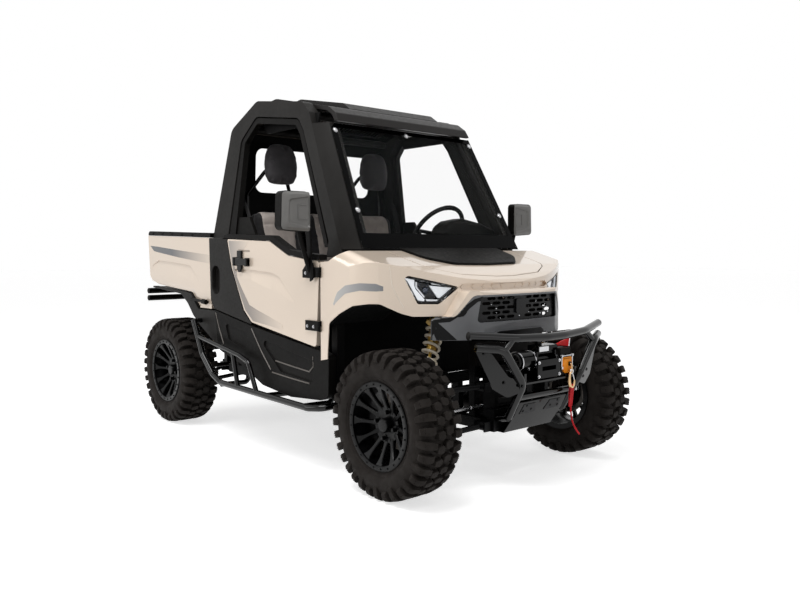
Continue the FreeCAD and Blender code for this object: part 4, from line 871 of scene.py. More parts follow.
nose_tree = cast_tree("nose_panel", "headlamps", "front_fenders", "hood", "front_fascia")
glass_tree = cast_tree("windshield")
skid_tree = cast_tree("skid_plate")
bumper_tree = cast_tree("front_bumper")
roof_tree = cast_tree("roof")
fascia_tree = cast_tree("front_fascia")
grille_tree = cast_tree("grille")
rocker_tree = cast_tree("rocker_panels")
seam_tree = cast_tree("front_fenders", "nose_panel")
glass_normal = Vector((1, 0, 0.525)).normalized()
thin_front = (-0.0006, 0, 0)


def on_nose(way, depth):
    return on_front(nose_tree, way, (-depth, 0, 0))


# Headlamps: a dark bucket behind a clear lens, with light pipes, a projector and a white reflector

lamp_edge = sampled(mm([(554, 982), (496, 859), (411, 857), (321, 928)]), (0.014, 0.010, 0.014, 0.008))
lamp_strips = {  # look, depth and thickness in mm, and the two edges
    "pipe": ("lamp_white", 9, 10, [(547, 972), (546, 944), (538, 920), (498, 872), (468, 865)],
             [(507, 966), (507, 934), (503, 922), (473, 884), (465, 874)]),
    "foot": ("lamp_chrome", 10, 8, [(460, 876), (384, 871)], [(457, 866), (388, 865)]),
    "edge": ("lamp_chrome", 14, 6, [(500, 955), (500, 928), (466, 882)],
             [(493, 953), (493, 929), (460, 885)]),
    "projector": ("lamp_blue", 26, 6, [(488, 953), (492, 933), (479, 915), (459, 889)],
                  [(450, 945), (437, 934), (420, 912), (404, 885)]),
    "reflector": ("lamp_white", 15, 8, [(440, 936), (403, 880)], [(328, 923), (372, 877)]),
    "upper_bar": ("lamp_white", 7, 8, [(443, 951), (387, 943), (336, 930)],
                  [(432, 942), (386, 935), (338, 924)]),
    "chip_a": ("lamp_chrome", 9, 6, [(489, 963), (470, 959)], [(488, 957), (470, 953)]),
    "chip_b": ("lamp_chrome", 9, 6, [(461, 957), (446, 953)], [(460, 951), (446, 948)]),
}


def lamp_bucket(bm, way):
    rings = []
    for inset, depth in ((0.012, 0.046), (0.008, 0.006), (0.002, 0.0015), (0.002, 0.050)):
        surface = [on_nose(way, depth)(p) for p in lamp_edge]
        rings.append([Vector((s.x, way * p.x, p.y)) for s, p in zip(surface, shrunk(lamp_edge, inset))])
    loft(bm, rings)


def lamp_lens(bm, way):
    skin(bm, shrunk(lamp_edge, 0.0025), on_nose(way, 0.0012), (-0.0014, 0, 0))


pair("lamp_bucket", lamp_bucket, "lamp_black", "lamp_lens", smooth=40)
pair("lamp_lens", lamp_lens, "lamp_clear", "lamp_lens", smooth=60, replaces=["headlamps"])
for name, (look, depth, thick, first, second) in lamp_strips.items():
    def lamp_strip(bm, way):
        ribbon(bm, mm(first), mm(second), on_nose(way, depth / 1000), (-thick / 1000, 0, 0))
    pair("lamp_" + name, lamp_strip, look, "lamp_lens", bevel=0.0012)
for index, (y, z, radius) in enumerate(((0.452, 0.914, 0.017), (0.478, 0.937, 0.006))):
    pair(f"lamp_ball_{index}",
         lambda bm, way: dome(bm, on_nose(way, 0.027)((y, z)), (1, 0, 0), radius, radius * 0.7),
         "lamp_ball", "lamp_lens", smooth=70)


# Chevron ticks on the floor of the strip under the hood's lip

def nose_ticks(bm):
    for way in ways:
        for y in (0.045, 0.105, 0.165, 0.225, 0.285):
            chevron = ((y, 0.9195), (y + 0.010, 0.9285), (y, 0.9375))
            rods(bm, [on_nose(way, 0.0)(p) for p in chevron], 0.0026)


piece("nose_ticks", nose_ticks, "pale_tick_and_highlight", "body_paint")


# Windshield: black printed border and round bolt heads

def on_glass(proud):
    return on_front(glass_tree, 1, glass_normal * proud)


def glass_half(z):
    """Half the windshield's width at a height, read from its mesh."""
    low, high = 0.3, 0.6
    for _ in range(20):
        middle = (low + high) / 2
        if ahead(glass_tree, middle, z) is None:
            high = middle
        else:
            low = middle
    return low


def glass_border(bm):
    def half(z):
        return glass_half(z) - 0.002
    z0, z1, low, high = 1.108, 1.7375, 1.178, 1.716
    place = on_glass(0.0008)
    for foot, top, across in ((z0, low, 3), (high, z1, 2)):
        ribbon(bm, [(-half(foot), foot), (half(foot), foot)], [(-half(top), top), (half(top), top)],
               place, thin_front, 24, across)
    for way in ways:
        ribbon(bm, [(way * half(z), z) for z in (low, high)],
               [(way * (half(z) - 0.030), z) for z in (low, high)], place, thin_front, 12, 2)


def glass_bolts(bm):
    for y, z in ((-0.485, 1.700), (0.485, 1.700), (0.0, 1.716), (-0.512, 1.290), (0.512, 1.290)):
        at = on_glass(0.0006)((y, z))
        face = at + glass_normal * 0.003
        rod(bm, at, face, 0.014, 28)
        dome(bm, face, glass_normal, 0.0105, 0.007)


piece("glass_border", glass_border, "glass_black", "black_plastic", smooth=50)
piece("glass_bolts", glass_bolts, "bright_steel", "hook_metal", smooth=40)


# Winch: ribbed motor cap, silver plate, tie bars, orange cover and hook

def motor_cap(bm):
    at = Vector((winch_x, -0.172, winch_z))
    turned_ring(bm, [(0.0, 0.040), (-0.002, 0.038), (-0.002, 0.033), (0.0, 0.031)], 48, at)
    turned_ring(bm, [(0.0, 0.010), (-0.0025, 0.009), (-0.0025, 0.0), (0.0, 0.0)], 24, at, closed=False)
    for turn in round_y(10):
        prism(bm, [at + turn @ Vector((x, -0.0025, z))
                   for x, z in ((-0.0035, 0.013), (0.0035, 0.013), (0.0035, 0.030), (-0.0035, 0.030))],
              (0, 0.003, 0))


def winch_trim(bm):
    for y in (-0.158, -0.070, 0.080, 0.092):
        turned_ring(bm, [(-0.003, 0.0475), (0.003, 0.0475), (0.003, 0.0440), (-0.003, 0.0440)], 48,
                    Vector((winch_x, y, winch_z)))
    bar_x, near, far, low, high = winch_x + 0.065, 0.094, 0.1735, 0.546, 0.602
    for y, z in ((near, low), (near, high), (far, low), (far, high)):
        rod(bm, (winch_x + 0.060, y, z), (winch_x + 0.070, y, z), 0.006)
    for y in (near, far):
        rod(bm, (bar_x, y, low), (bar_x, y, high), 0.0032, 12)
    rod(bm, (bar_x, near, high), (bar_x, far, high), 0.0032, 12)
    for y in (-0.074, 0.074):
        for z in (0.522, 0.586):
            bolt(bm, (winch_x + 0.066, y, z), (1, 0, 0), 0.0055, 0.006)
    for dx in (-0.030, 0.030):
        bolt(bm, (winch_x + dx, -0.066, winch_z + 0.032), (0, -1, 0), 0.006, 0.007)
    bolt(bm, (winch_x + 0.037, -0.110, winch_z - 0.030), (1, 0, -0.4), 0.006, 0.007)


def winch_plate(bm):
    brick(bm, (winch_x + 0.034, -0.034, winch_z + 0.039), (winch_x + 0.0355, 0.034, winch_z + 0.062))


def winch_box(bm):
    brick(bm, (winch_x + 0.004, 0.092, winch_z + 0.006), (winch_x + 0.058, 0.172, winch_z + 0.048))


def winch_cover(bm):
    outline = sampled(mm([(99, 595), (168, 595), (168, 545), (150, 520), (117, 520), (99, 545)]),
                      (0.008, 0.008, 0.020, 0.012, 0.012, 0.020), 0.006)
    for line, x, thick in ((outline, 0.056, 0.010), (shrunk(outline, 0.008), 0.064, 0.0035)):
        prism(bm, [(winch_x + x, p.x, p.y) for p in line], (thick, 0, 0))


def hook_shape(bm):
    """The hook's arm, thicker round its bend, as a mesh: a curve's box counts its points' radii."""
    bend = [(0, 0.004), (-15, -14), (-19, -40), (-15, -66), (-4, -80), (8, -80), (19, -66), (21, -48)]
    places = [(hook_x, hook_y + y / 1000, 0.532 + z / 1000) for y, z in bend]
    curve = tube_curve("hook_line", places, 0.0062)
    for point, size in zip(curve.splines[0].points, (0.7, 0.9, 1.25, 1.35, 1.2, 1.2, 1.1, 0.7)):
        point.radius = size
    holder = bpy.data.objects.new("hook_line", curve)
    bm.from_mesh(bpy.data.meshes.new_from_object(holder))
    bpy.data.objects.remove(holder)


piece("winch_cap_ribs", motor_cap, "trim_black", "winch_metal", bevel=0.0006)
piece("winch_trim", winch_trim, "bright_steel", "winch_metal", smooth=35)
piece("winch_plate", winch_plate, "silver_plate", "winch_metal", bevel=0.0006)
piece("winch_box", winch_box, "trim_black", "winch_metal", bevel=0.004, segments=3)
piece("winch_cover", winch_cover, "orange_cover", "winch_metal", bevel=0.003, segments=3)
bent_tube("hook_shank", [(hook_x - 0.008, hook_y, 0.562), (hook_x - 0.002, hook_y, 0.561),
                         (hook_x, hook_y, 0.552), (hook_x, hook_y, 0.534)],
          0.0045, "bronze_plate", ["winch_hook"])
bent_tube("hook_eye", [(hook_x, hook_y + 0.010 * math.sin(i * math.pi / 4),
                        0.527 + 0.011 * math.cos(i * math.pi / 4)) for i in range(9)],
          0.004, "bright_steel")
piece("hook_arm", hook_shape, "bronze_plate", "hook_metal", smooth=60)
bent_tube("hook_latch", [(hook_x, hook_y + 0.004, 0.522), (hook_x, hook_y + 0.014, 0.504),
                         (hook_x, hook_y + 0.021, 0.484)], 0.0026, "bright_steel")


# Bumper and skid plate: bolts, welded plates and the red tow plate behind the upper bar

def on_skid(way):
    return on_front(skid_tree, way, (-0.0005, 0, 0))


def skid_pads(bm):
    for way in ways:
        corners = ((0.030, 0.351), (0.142, 0.351), (0.132, 0.398), (0.052, 0.398))
        prism(bm, [on_skid(way)(p) for p in corners], (0.0025, 0, -0.0012))


# The holes are dark discs on the plate's face: painted shade in place of openings.
def skid_holes(bm):
    for way in ways:
        for p in ((0.070, 0.370), (0.125, 0.366), (0.112, 0.391)):
            at = on_skid(way)(p) + Vector((0.0018, 0, -0.0010))
            rod(bm, at, at + Vector((0.0016, 0, -0.0008)), 0.006, 20)


def bumper_bolts(bm):
    for way in ways:
        for y, z in ((0.400, 0.655), (0.300, 0.520), (0.222, 0.500)):
            bolt(bm, ahead(bumper_tree, way * y, z), (1, 0, 0), 0.006, 0.006)
        for y in (0.060, 0.150):
            bolt(bm, (front(0.340), way * y, 0.506), (0, 0, 1), 0.006, 0.006)


def tow_plate(bm):
    corners = [(1352, 100, 648), (1352, 212, 636), (1352, 216, 676), (1352, 150, 664)]
    prism(bm, mm(corners), (0.006, 0, 0))


def tow_edge(bm):
    corners = [(1351, 207, 636), (1351, 213, 636), (1351, 219, 678), (1351, 213, 676)]
    prism(bm, mm(corners), (0.008, 0, 0))


piece("skid_pads", skid_pads, "skid_grey", "black_steel", bevel=0.0008)
piece("skid_holes", skid_holes, "deep_black", "black_steel")
piece("bumper_bolts", bumper_bolts, "powder_black", "black_steel")
piece("tow_plate", tow_plate, "red_cap", "black_steel", bevel=0.001)
piece("tow_plate_edge", tow_edge, "lamp_white", "black_steel", bevel=0.0008)


# Doors: mirrors, handles and hinge bolts

hinge_x = front(-0.462)


def mirror_face(bm, way):
    """The bevelled front of the mirror's housing, with a sunk panel and a square ledge."""
    x = hinge_x - 0.0285
    outer = [(738, 1184), (896, 1192), (890, 1368), (738, 1370)]
    middle = [(742, 1196), (880, 1206), (874, 1354), (742, 1358)]
    pocket = [(742, 1202), (862, 1222), (858, 1334), (742, 1350)]
    floor = [(744, 1208), (855, 1227), (851, 1328), (744, 1344)]
    rings = []
    for outline, dx in ((outer, 0.0), (outer, 0.003), (middle, 0.012), (pocket, 0.012), (floor, 0.005)):
        edge = sampled(mm(outline), (0.010, 0.022, 0.022, 0.010), 1.0)
        rings.append([Vector((x + dx, way * p.x, p.y)) for p in edge])
    loft(bm, rings)
    ledge = [(756, 1240), (806, 1240), (806, 1312), (756, 1312), (756, 1307), (801, 1307), (801, 1245),
             (756, 1245)]
    prism(bm, [(x + 0.004, way * y / 1000, z / 1000) for y, z in ledge], (0.004, 0, 0))


def mirror_glass(bm, way):
    edge = sampled(mm([(750, 1192), (888, 1200), (882, 1360), (750, 1362)]), (0.016,) * 4, 0.02)
    prism(bm, [(hinge_x - 0.0802, way * p.x, p.y) for p in edge], (-0.0022, 0, 0))


def mirror_mount(bm, way):
    arm = [(-0.052, 0.945), (-0.052, 1.010), (-0.064, 1.030), (-0.076, 1.120), (-0.084, 1.200),
           (-0.048, 1.200), (-0.040, 1.120), (-0.034, 1.010), (-0.030, 0.955)]
    foot = [(-0.116, 0.962), (-0.116, 1.000), (-0.078, 1.036), (-0.030, 1.036), (-0.022, 0.962)]
    for outline, proud, thick in ((arm, 0.0105, 0.010), (foot, 0.0095, 0.009)):
        prism(bm, [(hinge_x - 0.006 + x, way * door_y + way * proud, z) for x, z in outline],
              (0, way * thick, 0))


def hinge_bolts(bm, way):
    for z in (0.986, 0.728):
        for x, over_foot in ((-0.094, True), (-0.042, False)):
            proud = 0.018 if over_foot and z > 0.9 else 0.0095
            bolt(bm, (hinge_x + x, way * (door_y + proud), z), (0, way, 0), 0.0055, 0.005)


def on_door(bm, way, outline, proud):
    """A plate on the door's face, from side view points in mm ahead of the rear axle."""
    corners = [(x, way * (door_y - 0.001), z) for x, z in beside(rear_axle, outline)]
    prism(bm, corners, (0, way * proud, 0))


def door_handle(bm, way):
    """A paddle handle: an upright bar crossed by the lever, on a rounded foot."""
    on_door(bm, way, [(893, 992), (903, 976), (922, 976), (938, 996), (940, 1094), (893, 1094)], 0.013)
    on_door(bm, way, [(862, 1016), (1012, 1013), (1012, 1049), (862, 1053)], 0.020)
    on_door(bm, way, [(862, 1010), (880, 1010), (880, 1058), (862, 1058)], 0.024)
    on_door(bm, way, [(992, 1008), (1012, 1008), (1012, 1054), (992, 1054)], 0.024)


# A thin darker strip along the top of the handle's foot: painted shade of the slot there.
def handle_slot(bm, way):
    on_door(bm, way, [(892, 1100), (1012, 1096), (1016, 1091), (1012, 1086), (940, 1088), (940, 1094),
                      (892, 1096)], 0.002)


door = "{side}_door"
pair("mirror_face", mirror_face, "mirror_grey", "black_plastic", door, bevel=0.002, segments=3)
pair("mirror_glass", mirror_glass, "mirror_silver", "black_plastic", door, bevel=0.001)
pair("mirror_mount", mirror_mount, "trim_black", "black_plastic", door, bevel=0.003, segments=3)
pair("hinge_bolts", hinge_bolts, "bright_steel", "black_steel", door)
pair("door_handle", door_handle, "handle_black", "black_plastic", door, bevel=0.0035, segments=3)
pair("handle_slot", handle_slot, "slot_shade", "black_plastic", door, bevel=0.0006)


# Stripes and painted shade: thin skins laid on the side panels, whose colour fades into the paint. The
# bed and fender skins are stripes; the two door skins are painted shade.

fading_skin_thick = 0.0004


def fading_skin(name, node, body, axle, first, second, look, count=40):
    trees = {way: cast_tree(node.format(side=side)) for side, way in sides}

    def lay(bm, way):
        ribbon(bm, beside(axle, first), beside(axle, second), on_side(trees[way], way, 0.0006),
               (0, -way * fading_skin_thick, 0), count, 6)
    pair(name, lay, look, "body_paint", body, smooth=50)


fading_skin("bed_stripe", "bed", "cargo_bed", rear_axle,
       [(-303, 1124), (-200, 1119), (100, 1096), (300, 1082), (520, 1068)],
       [(-250, 1090), (-200, 1083), (100, 1052), (300, 1035), (520, 1018)], "slate_fade")
# Painted shade on each door: a darker patch at its top rear corner, and a darker band that runs down
# from its rear edge to its lower edge.
fading_skin("door_corner", "door_{side}", door, rear_axle,
       [(784, 1148), (800, 1085), (818, 1024)], [(1000, 1142), (935, 1080), (848, 1024)], "door_fade")
fading_skin("door_band", "door_{side}", door, rear_axle,
       [(822, 1012), (850, 945), (905, 855), (958, 772), (1040, 715), (1200, 702), (1330, 690)],
       [(846, 1012), (872, 950), (930, 880), (1004, 800), (1090, 776), (1210, 748), (1330, 716)],
       "band_shade_fade", 60)
fading_skin("fender_stripe", "front_fenders", "chassis", front_axle,
       [(-356, 845), (-340, 876), (-324, 901), (-265, 934), (-170, 948), (-100, 946), (-78, 934)],
       [(-350, 838), (-336, 852), (-314, 867), (-265, 897), (-170, 914), (-100, 912), (-78, 914)],
       "fender_fade")


# Padded seats: each cover is a cloth under pressure, its seams pressed in afterwards

cushion_split, back_split = 0.112, 0.110
cloth_steps, cloth_pressure = 20, 4


def swept(bm, outline, half):
    """A side outline in mm from the rear axle swept across, drawn in at its ends."""
    outline = beside(rear_axle, outline)
    middle = sum((Vector(p) for p in outline), Vector((0, 0))) / len(outline)
    edge = sampled(outline, (0.030,) * len(outline), 0.02)
    sections = []
    for share, size in ((-1, 0.75), (-0.94, 0.93), (-0.6, 1), (0, 1), (0.6, 1), (0.94, 0.93), (1, 0.75)):
        sections.append([(p.x, share * half, p.y) for p in (middle.lerp(p, size) for p in edge)])
    loft(bm, sections)


def cushion_form(bm):
    swept(bm, [(785, 712), (1180, 712), (1196, 783), (785, 756)], 0.166)


def back_form(bm):
    swept(bm, [(784, 786), (856, 792), (750, 1336), (686, 1336)], 0.160)


def headrest_form(bm):
    """A pad that is widest at its middle, round at its top and drawn in to a flat foot."""
    levels = [(1.484, 0.070, 0.022), (1.492, 0.084, 0.032), (1.530, 0.103, 0.037), (1.590, 0.107, 0.038),
              (1.640, 0.101, 0.036), (1.680, 0.086, 0.031), (1.704, 0.064, 0.022), (1.711, 0.045, 0.012)]
    squareness = 0.55
    sections = []
    for z, half, deep in levels:
        ring = []
        for i in range(24):
            a = 2 * math.pi * i / 24
            c, s = math.cos(a), math.sin(a)
            x = deep * math.copysign(abs(c) ** squareness, c)
            y = half * math.copysign(abs(s) ** squareness, s)
            ring.append((-0.298 + x + (z - 1.6) * -0.03, y, z))
        sections.append(ring)
    loft(bm, sections)


def cushion_seams(p):
    across = [p.x - rear(x) for x in (0.955, 1.060)] if abs(p.y) < cushion_split else []
    return across + [abs(p.y) - cushion_split, p.z - 0.735]


def back_seams(p):
    across = [p.z - z for z in (1.245, 1.060, 0.900)] if abs(p.y) < back_split else []
    return across + [abs(p.y) - back_split, p.x - (rear(0.722) + (1.350 - p.z) * 0.19)]


def headrest_seams(p):
    return [p.x + 0.316 + (p.z - 1.6) * 0.03]


pads = {  # form, voxel, most that a point moves, distances to the seams, where the side cloth starts
    "cushion": (cushion_form, 0.009, 0.018, cushion_seams, cushion_split),
    "back": (back_form, 0.009, 0.018, back_seams, back_split),
    "headrest": (headrest_form, 0.006, 0.009, headrest_seams, 1),
}


def remeshed(name, build, voxel):
    """The form's mesh, rebuilt as an even grid."""
    thing = linked(name, built(name, build))
    thing.modifiers.new("remesh", "REMESH").voxel_size = voxel
    even = bpy.data.meshes.new_from_object(thing.evaluated_get(bpy.context.evaluated_depsgraph_get()))
    bpy.data.objects.remove(thing)
    return even


def inflate(meshes):
    """Cloth under pressure for a number of steps, with each point's move capped."""
    things = {name: linked(name, mesh) for name, mesh in meshes.items()}
    for thing in things.values():
        cloth = thing.modifiers.new("cloth", "CLOTH").settings
        cloth.use_pressure = True
        cloth.uniform_pressure_force = cloth_pressure
        cloth.effector_weights.gravity = 0
        cloth.quality = 5
    for step in range(1, cloth_steps + 1):
        scene.frame_set(step)
    depsgraph = bpy.context.evaluated_depsgraph_get()
    for name, thing in things.items():
        cap = pads[name][2]
        moved = [v.co.copy() for v in thing.evaluated_get(depsgraph).data.vertices]
        for vertex, place in zip(thing.data.vertices, moved):
            shift = place - vertex.co
            if shift.length > cap:
                shift *= cap / shift.length
            vertex.co += shift
    for thing in things.values():
        bpy.data.objects.remove(thing)
    scene.frame_set(1)


def press_seams(mesh, gaps, depth=0.006, width=0.009):
    """Points near a seam move in along their normals."""
    normals = [v.normal.copy() for v in mesh.vertices]
    for vertex, normal in zip(mesh.vertices, normals):
        near = min(abs(gap) for gap in gaps(vertex.co))
        if near < width:
            vertex.co -= normal * depth * (1 - near / width) ** 2


def place_pad(name, mesh, y, cloths, node):
    """A pad at its place across the cab, in one cloth or in two divided at its side seams."""
    copy = mesh.copy()
    for look in cloths:
        copy.materials.append(looks[look])
    for vertex in copy.vertices:
        vertex.co.y += y
    pad = dressed(name, copy, "seat_cover", subdivide=1, replaces=[node])


pad_meshes = {name: remeshed("pad_" + name, form, voxel) for name, (form, voxel, *_) in pads.items()}
for name, mesh in pad_meshes.items():
    for polygon in mesh.polygons:
        polygon.material_index = int(abs(polygon.center.y) > pads[name][4])
inflate(pad_meshes)
for name, mesh in pad_meshes.items():
    mesh.update()
    press_seams(mesh, pads[name][3])
two_cloths = ("seat_grey", "seat_black")
for index, y in enumerate((-0.365, 0.0, 0.365)):
    place_pad(f"cushion_pad_{index}", pad_meshes["cushion"], y, two_cloths, "seat_cushions")
    place_pad(f"back_pad_{index}", pad_meshes["back"], y, two_cloths, "seat_backs")
for index, y in enumerate((-0.350, 0.350)):
    place_pad(f"headrest_pad_{index}", pad_meshes["headrest"], y, ("head_grey",), "headrests")


# Belts that hang beside the outer seats, and the buckles

def belt(bm, way):
    half, thin = 0.023, 0.0008
    line = [(0.690, 0.575, 1.430), (0.760, 0.560, 1.340), (0.815, 0.545, 1.120), (0.850, 0.545, 0.930),
            (0.860, 0.550, 0.720)]
    loft(bm, [oblong(rear(x), way * y, z, half, thin) for x, y, z in line])


def belt_guide(bm, way):
    brick(bm, (rear(0.660), way * 0.578 - 0.010, 1.405), (rear(0.722), way * 0.578 + 0.010, 1.450))


def buckle(bm, way):
    brick(bm, (rear(0.845), way * 0.180 - 0.014, 0.760), (rear(0.885), way * 0.180 + 0.014, 0.850))


pair("belt", belt, "seat_black", "seat_cover", subdivide=2)
pair("belt_guide", belt_guide, "trim_black", "black_plastic", bevel=0.004)
pair("buckle", buckle, "trim_black", "black_plastic", bevel=0.004)


# Cab: steering wheel trim, gauge, vents, the roof's inner ribs and its headers

wheel_centre = Vector((front(-0.745), 0.350, 1.195))
wheel_axis = Vector((-math.cos(math.radians(35)), 0, math.sin(math.radians(35))))
wheel_radius = 0.178
header_y = 0.494


def wheel_cap(bm):
    dome(bm, wheel_centre + wheel_axis * 0.004, wheel_axis, 0.043, 0.012)


def wheel_grips(bm):
    """Thumb swells on the steering wheel's rim at its spokes."""
    aside = Vector((0, 1, 0))
    up = wheel_axis.cross(aside)
    for angle in (0.1, math.pi - 0.1, 1.5 * math.pi):
        for a in (angle - 0.16, angle, angle + 0.16):
            at = wheel_centre + (aside * math.cos(a) + up * math.sin(a)) * wheel_radius
            along = (aside * -math.sin(a) + up * math.cos(a)) * 0.012
            rod(bm, at - along, at + along, 0.0142, 20)


def dash_details(bm):
    """Vents and a grab bar on the dashboard's cab side."""
    x = front(-0.630)
    for y in (-0.40, -0.12, 0.12):
        for k in range(5):
            z = 1.085 + k * 0.010
            brick(bm, (x - 0.004, y - 0.045, z), (x + 0.02, y + 0.045, z + 0.004))
    brick(bm, (front(-0.640), -0.38, 0.985), (front(-0.610), -0.14, 1.045))


def gauge(bm):
    at = Vector((front(-0.575), 0.350, 1.185))
    line = Vector((-1, 0, 0.25)).normalized()
    rod(bm, at - line * 0.02, at + line * 0.006, 0.052, 40)
    rod(bm, at + line * 0.006, at + line * 0.009, 0.046, 40)


def roof_ribs(bm):
    """Ribs that run along the underside of the roof."""
    for k in range(-16, 17):
        places = [(-0.40 + i * 0.10, k * 0.0275) for i in range(9)]
        line = [Vector((x, y, above(roof_tree, x, y, 0))) for x, y in places]
        rods(bm, [p for p in line if p.z], 0.0065, 6)


def side_header(bm, way):
    """The strip that closes the roof's edge down to the cage."""
    sections = []
    for i in range(12):
        x = -0.455 + i * 0.070
        z = above(roof_tree, max(x, -0.425), way * header_y, 1.80) + 0.003
        sections.append([(x, way * header_y, z), (x, way * 0.504, z), (x, way * 0.516, z - 0.060),
                         (x, way * 0.506, z - 0.060)])
    loft(bm, sections)


def dash_hood(bm):
    """The hump over the gauge in front of the driver."""
    foot = 1.190
    crest = [(0.150, 1.200), (0.165, 1.232), (0.205, 1.257), (0.300, 1.273), (0.430, 1.251),
             (0.520, 1.222), (0.545, 1.200)]
    sections = []
    for x, share in ((0.452, 0.70), (0.470, 1.0), (0.555, 1.0), (0.585, 0.70)):
        top = [(x, y, foot + (z - foot) * share) for y, z in crest]
        sections.append(top + [(x, 0.545, 1.180), (x, 0.150, 1.180)])
    loft(bm, sections)


def rear_header(bm):
    """The trim that joins the rear panel's top edge to the roof."""
    sections = []
    for x in (-0.462, -0.432):
        across = [-0.505 + i * 1.01 / 12 for i in range(13)]
        top = [(x, y, above(roof_tree, -0.425, y, 1.84) + 0.004) for y in across]
        sections.append(top + [(x, y, 1.772) for y in reversed(across)])
    loft(bm, sections)


piece("wheel_cap", wheel_cap, "trim_black", "grip_rubber", "steering", smooth=60)
piece("wheel_grips", wheel_grips, "grip_rubber", "grip_rubber", "steering", bevel=0.003)
piece("dash_details", dash_details, "trim_black", "black_plastic", bevel=0.001)
piece("dash_gauge", gauge, "lamp_blue", "black_plastic", bevel=0.002)
piece("roof_ribs", roof_ribs, "cab_black", "black_plastic", smooth=40)
pair("side_header", side_header, "cab_black", "black_plastic", smooth=40)
piece("dash_hood", dash_hood, "trim_black", "black_plastic", bevel=0.010, segments=3)
piece("rear_header", rear_header, "deep_black", "black_plastic", smooth=40)


# Nose and fascia: painted shadow skins under the nose panel and at the chin's step, studs behind the
# grille

def on_fascia(way):
    return on_front(fascia_tree, way, (0.0008, 0, 0))


def fascia_shade(bm, way):
    place = on_fascia(way)
    ribbon(bm, mm([(263, 887), (298, 876), (345, 838), (398, 796), (450, 795)]),
           mm([(249, 873), (283, 864), (345, 810), (392, 774), (436, 770)]), place, thin_front, 40, 5)
    ribbon(bm, mm([(452, 792), (452, 740), (452, 691)]), mm([(430, 766), (404, 736), (366, 692)]),
           place, thin_front, 24, 6)


def chin_shade(bm):
    ribbon(bm, mm([(-150, 722), (150, 722)]), mm([(-215, 694), (215, 694)]), on_fascia(1),
           thin_front, 30, 3)


# Small chrome domes set where the grille shows bright glints; their reflections give those glints.
def grille_studs(bm):
    studs = [(-159, 826, 3.2), (-148, 806, 2.6), (-118, 780, 2.4), (-2, 787, 3.4), (225, 795, 4.2),
             (214, 818, 3.4), (206, 832, 3.0), (161, 790, 3.4), (124, 850, 2.2), (85, 826, 2.2),
             (68, 801, 2.0), (-190, 846, 2.0)]
    for y, z, size in studs:
        at = ahead(grille_tree, y / 1000, z / 1000) or Vector((1.212, y / 1000, z / 1000))
        dome(bm, at, (1, 0, 0), size / 1000, size / 2000, 16)


def seam_highlight(bm, way):
    """A pale rod along the fender's front edge beside the nose: a painted highlight on the lip of that
    edge.
    """
    line = mm([(x, way * y, z) for x, y, z in (
        (985, 606, 1024), (989, 601, 985), (991, 598, 943), (1002, 583, 901), (1013, 568, 869),
        (1022, 553, 838))])
    rods(bm, [seam_tree.find_nearest(p)[0] for p in even_points(line, 17)], 0.0014)


def tube_caps(bm):
    radius, height = 0.0175, 0.007
    for way in ways:
        for z in (0.822, 0.774):
            dome(bm, (rear(-0.372), way * 0.670, z), (0, way, 0), radius, height)
        dome(bm, (front(0.295), way * 0.470, 0.731), (-0.077, way * 0.220, 0.019), radius, height)


pair("fascia_shade", fascia_shade, "shade_black", "black_plastic", smooth=50)
pair("seam_highlight", seam_highlight, "pale_tick_and_highlight", "body_paint", smooth=60)
piece("chin_shade", chin_shade, "shade_black", "black_plastic", smooth=50)
piece("grille_studs", grille_studs, "lamp_chrome", "hook_metal", smooth=60)
piece("tube_caps", tube_caps, "shell_black", "black_steel", smooth=60)


# Sill and bed: painted highlights along the sill's ridges, the rail notches of the box and the tipping
# lever

# Grey rods along the sill's ridges: painted highlights on their crests.
def rocker_ridge_highlights(bm, way):
    for line in ([(612, 735), (655, 640), (702, 560)], [(1012, 672), (1110, 560), (1205, 470)],
                 [(1219, 458), (1400, 448), (1560, 442)],
                 [(1240, 520), (1400, 508), (1555, 498), (1582, 520), (1590, 580)]):
        places = even_points(beside(rear_axle, line), 9)
        rods(bm, [on_side(rocker_tree, way, 0.0)(p) for p in places], 0.0035)


# The notches are dark plates on the rail's face: painted shade in place of recesses.
def rail_notches(bm, way):
    for x in (-250, -110, 30, 170, 310):
        at, z = rear(x / 1000), 1.2045 - (x + 310) / 846 * 0.025
        corners = ((-0.016, -0.007), (0.004, -0.007), (0.016, 0.007), (-0.004, 0.007))
        prism(bm, [(at + dx, way * 0.6822, z + dz) for dx, dz in corners], (0, way * 0.0022, 0))


def bed_lever(bm):
    rod(bm, (rear(0.300), -0.690, 0.800), (rear(0.470), -0.698, 0.792), 0.0085)
    rod(bm, (rear(0.455), -0.697, 0.7925), (rear(0.510), -0.700, 0.790), 0.0145, 20)
    rod(bm, (rear(0.300), -0.640, 0.800), (rear(0.300), -0.692, 0.800), 0.0085)


pair("rocker_ridge_highlights", rocker_ridge_highlights, "ridge_highlight_grey", "black_plastic")
pair("rail_notches", rail_notches, "deep_black", "black_plastic", "cargo_bed")
piece("bed_lever", bed_lever, "trim_black", "black_steel", bevel=0.002)


# Tailgate: lamps in two colours and raised ribs

def tail_lamp(bm, way):
    outline = sampled(mm([(568, 990), (622, 990), (622, 1130), (584, 1130)]), (0.010,) * 4, 0.02)
    rings = []
    for line, x in ((outline, -1.4095), (outline, -1.419), (shrunk(outline, 0.004), -1.424)):
        rings.append([(x, way * p.x, p.y) for p in line])
    loft(bm, rings)


def tail_lens(bm, way, low, high):
    outline = sampled(mm([(574, low), (616, low), (616, high), (580, high)]), (0.006,) * 4, 0.02)
    prism(bm, [(-1.423, way * p.x, p.y) for p in outline], (-0.004, 0, 0))


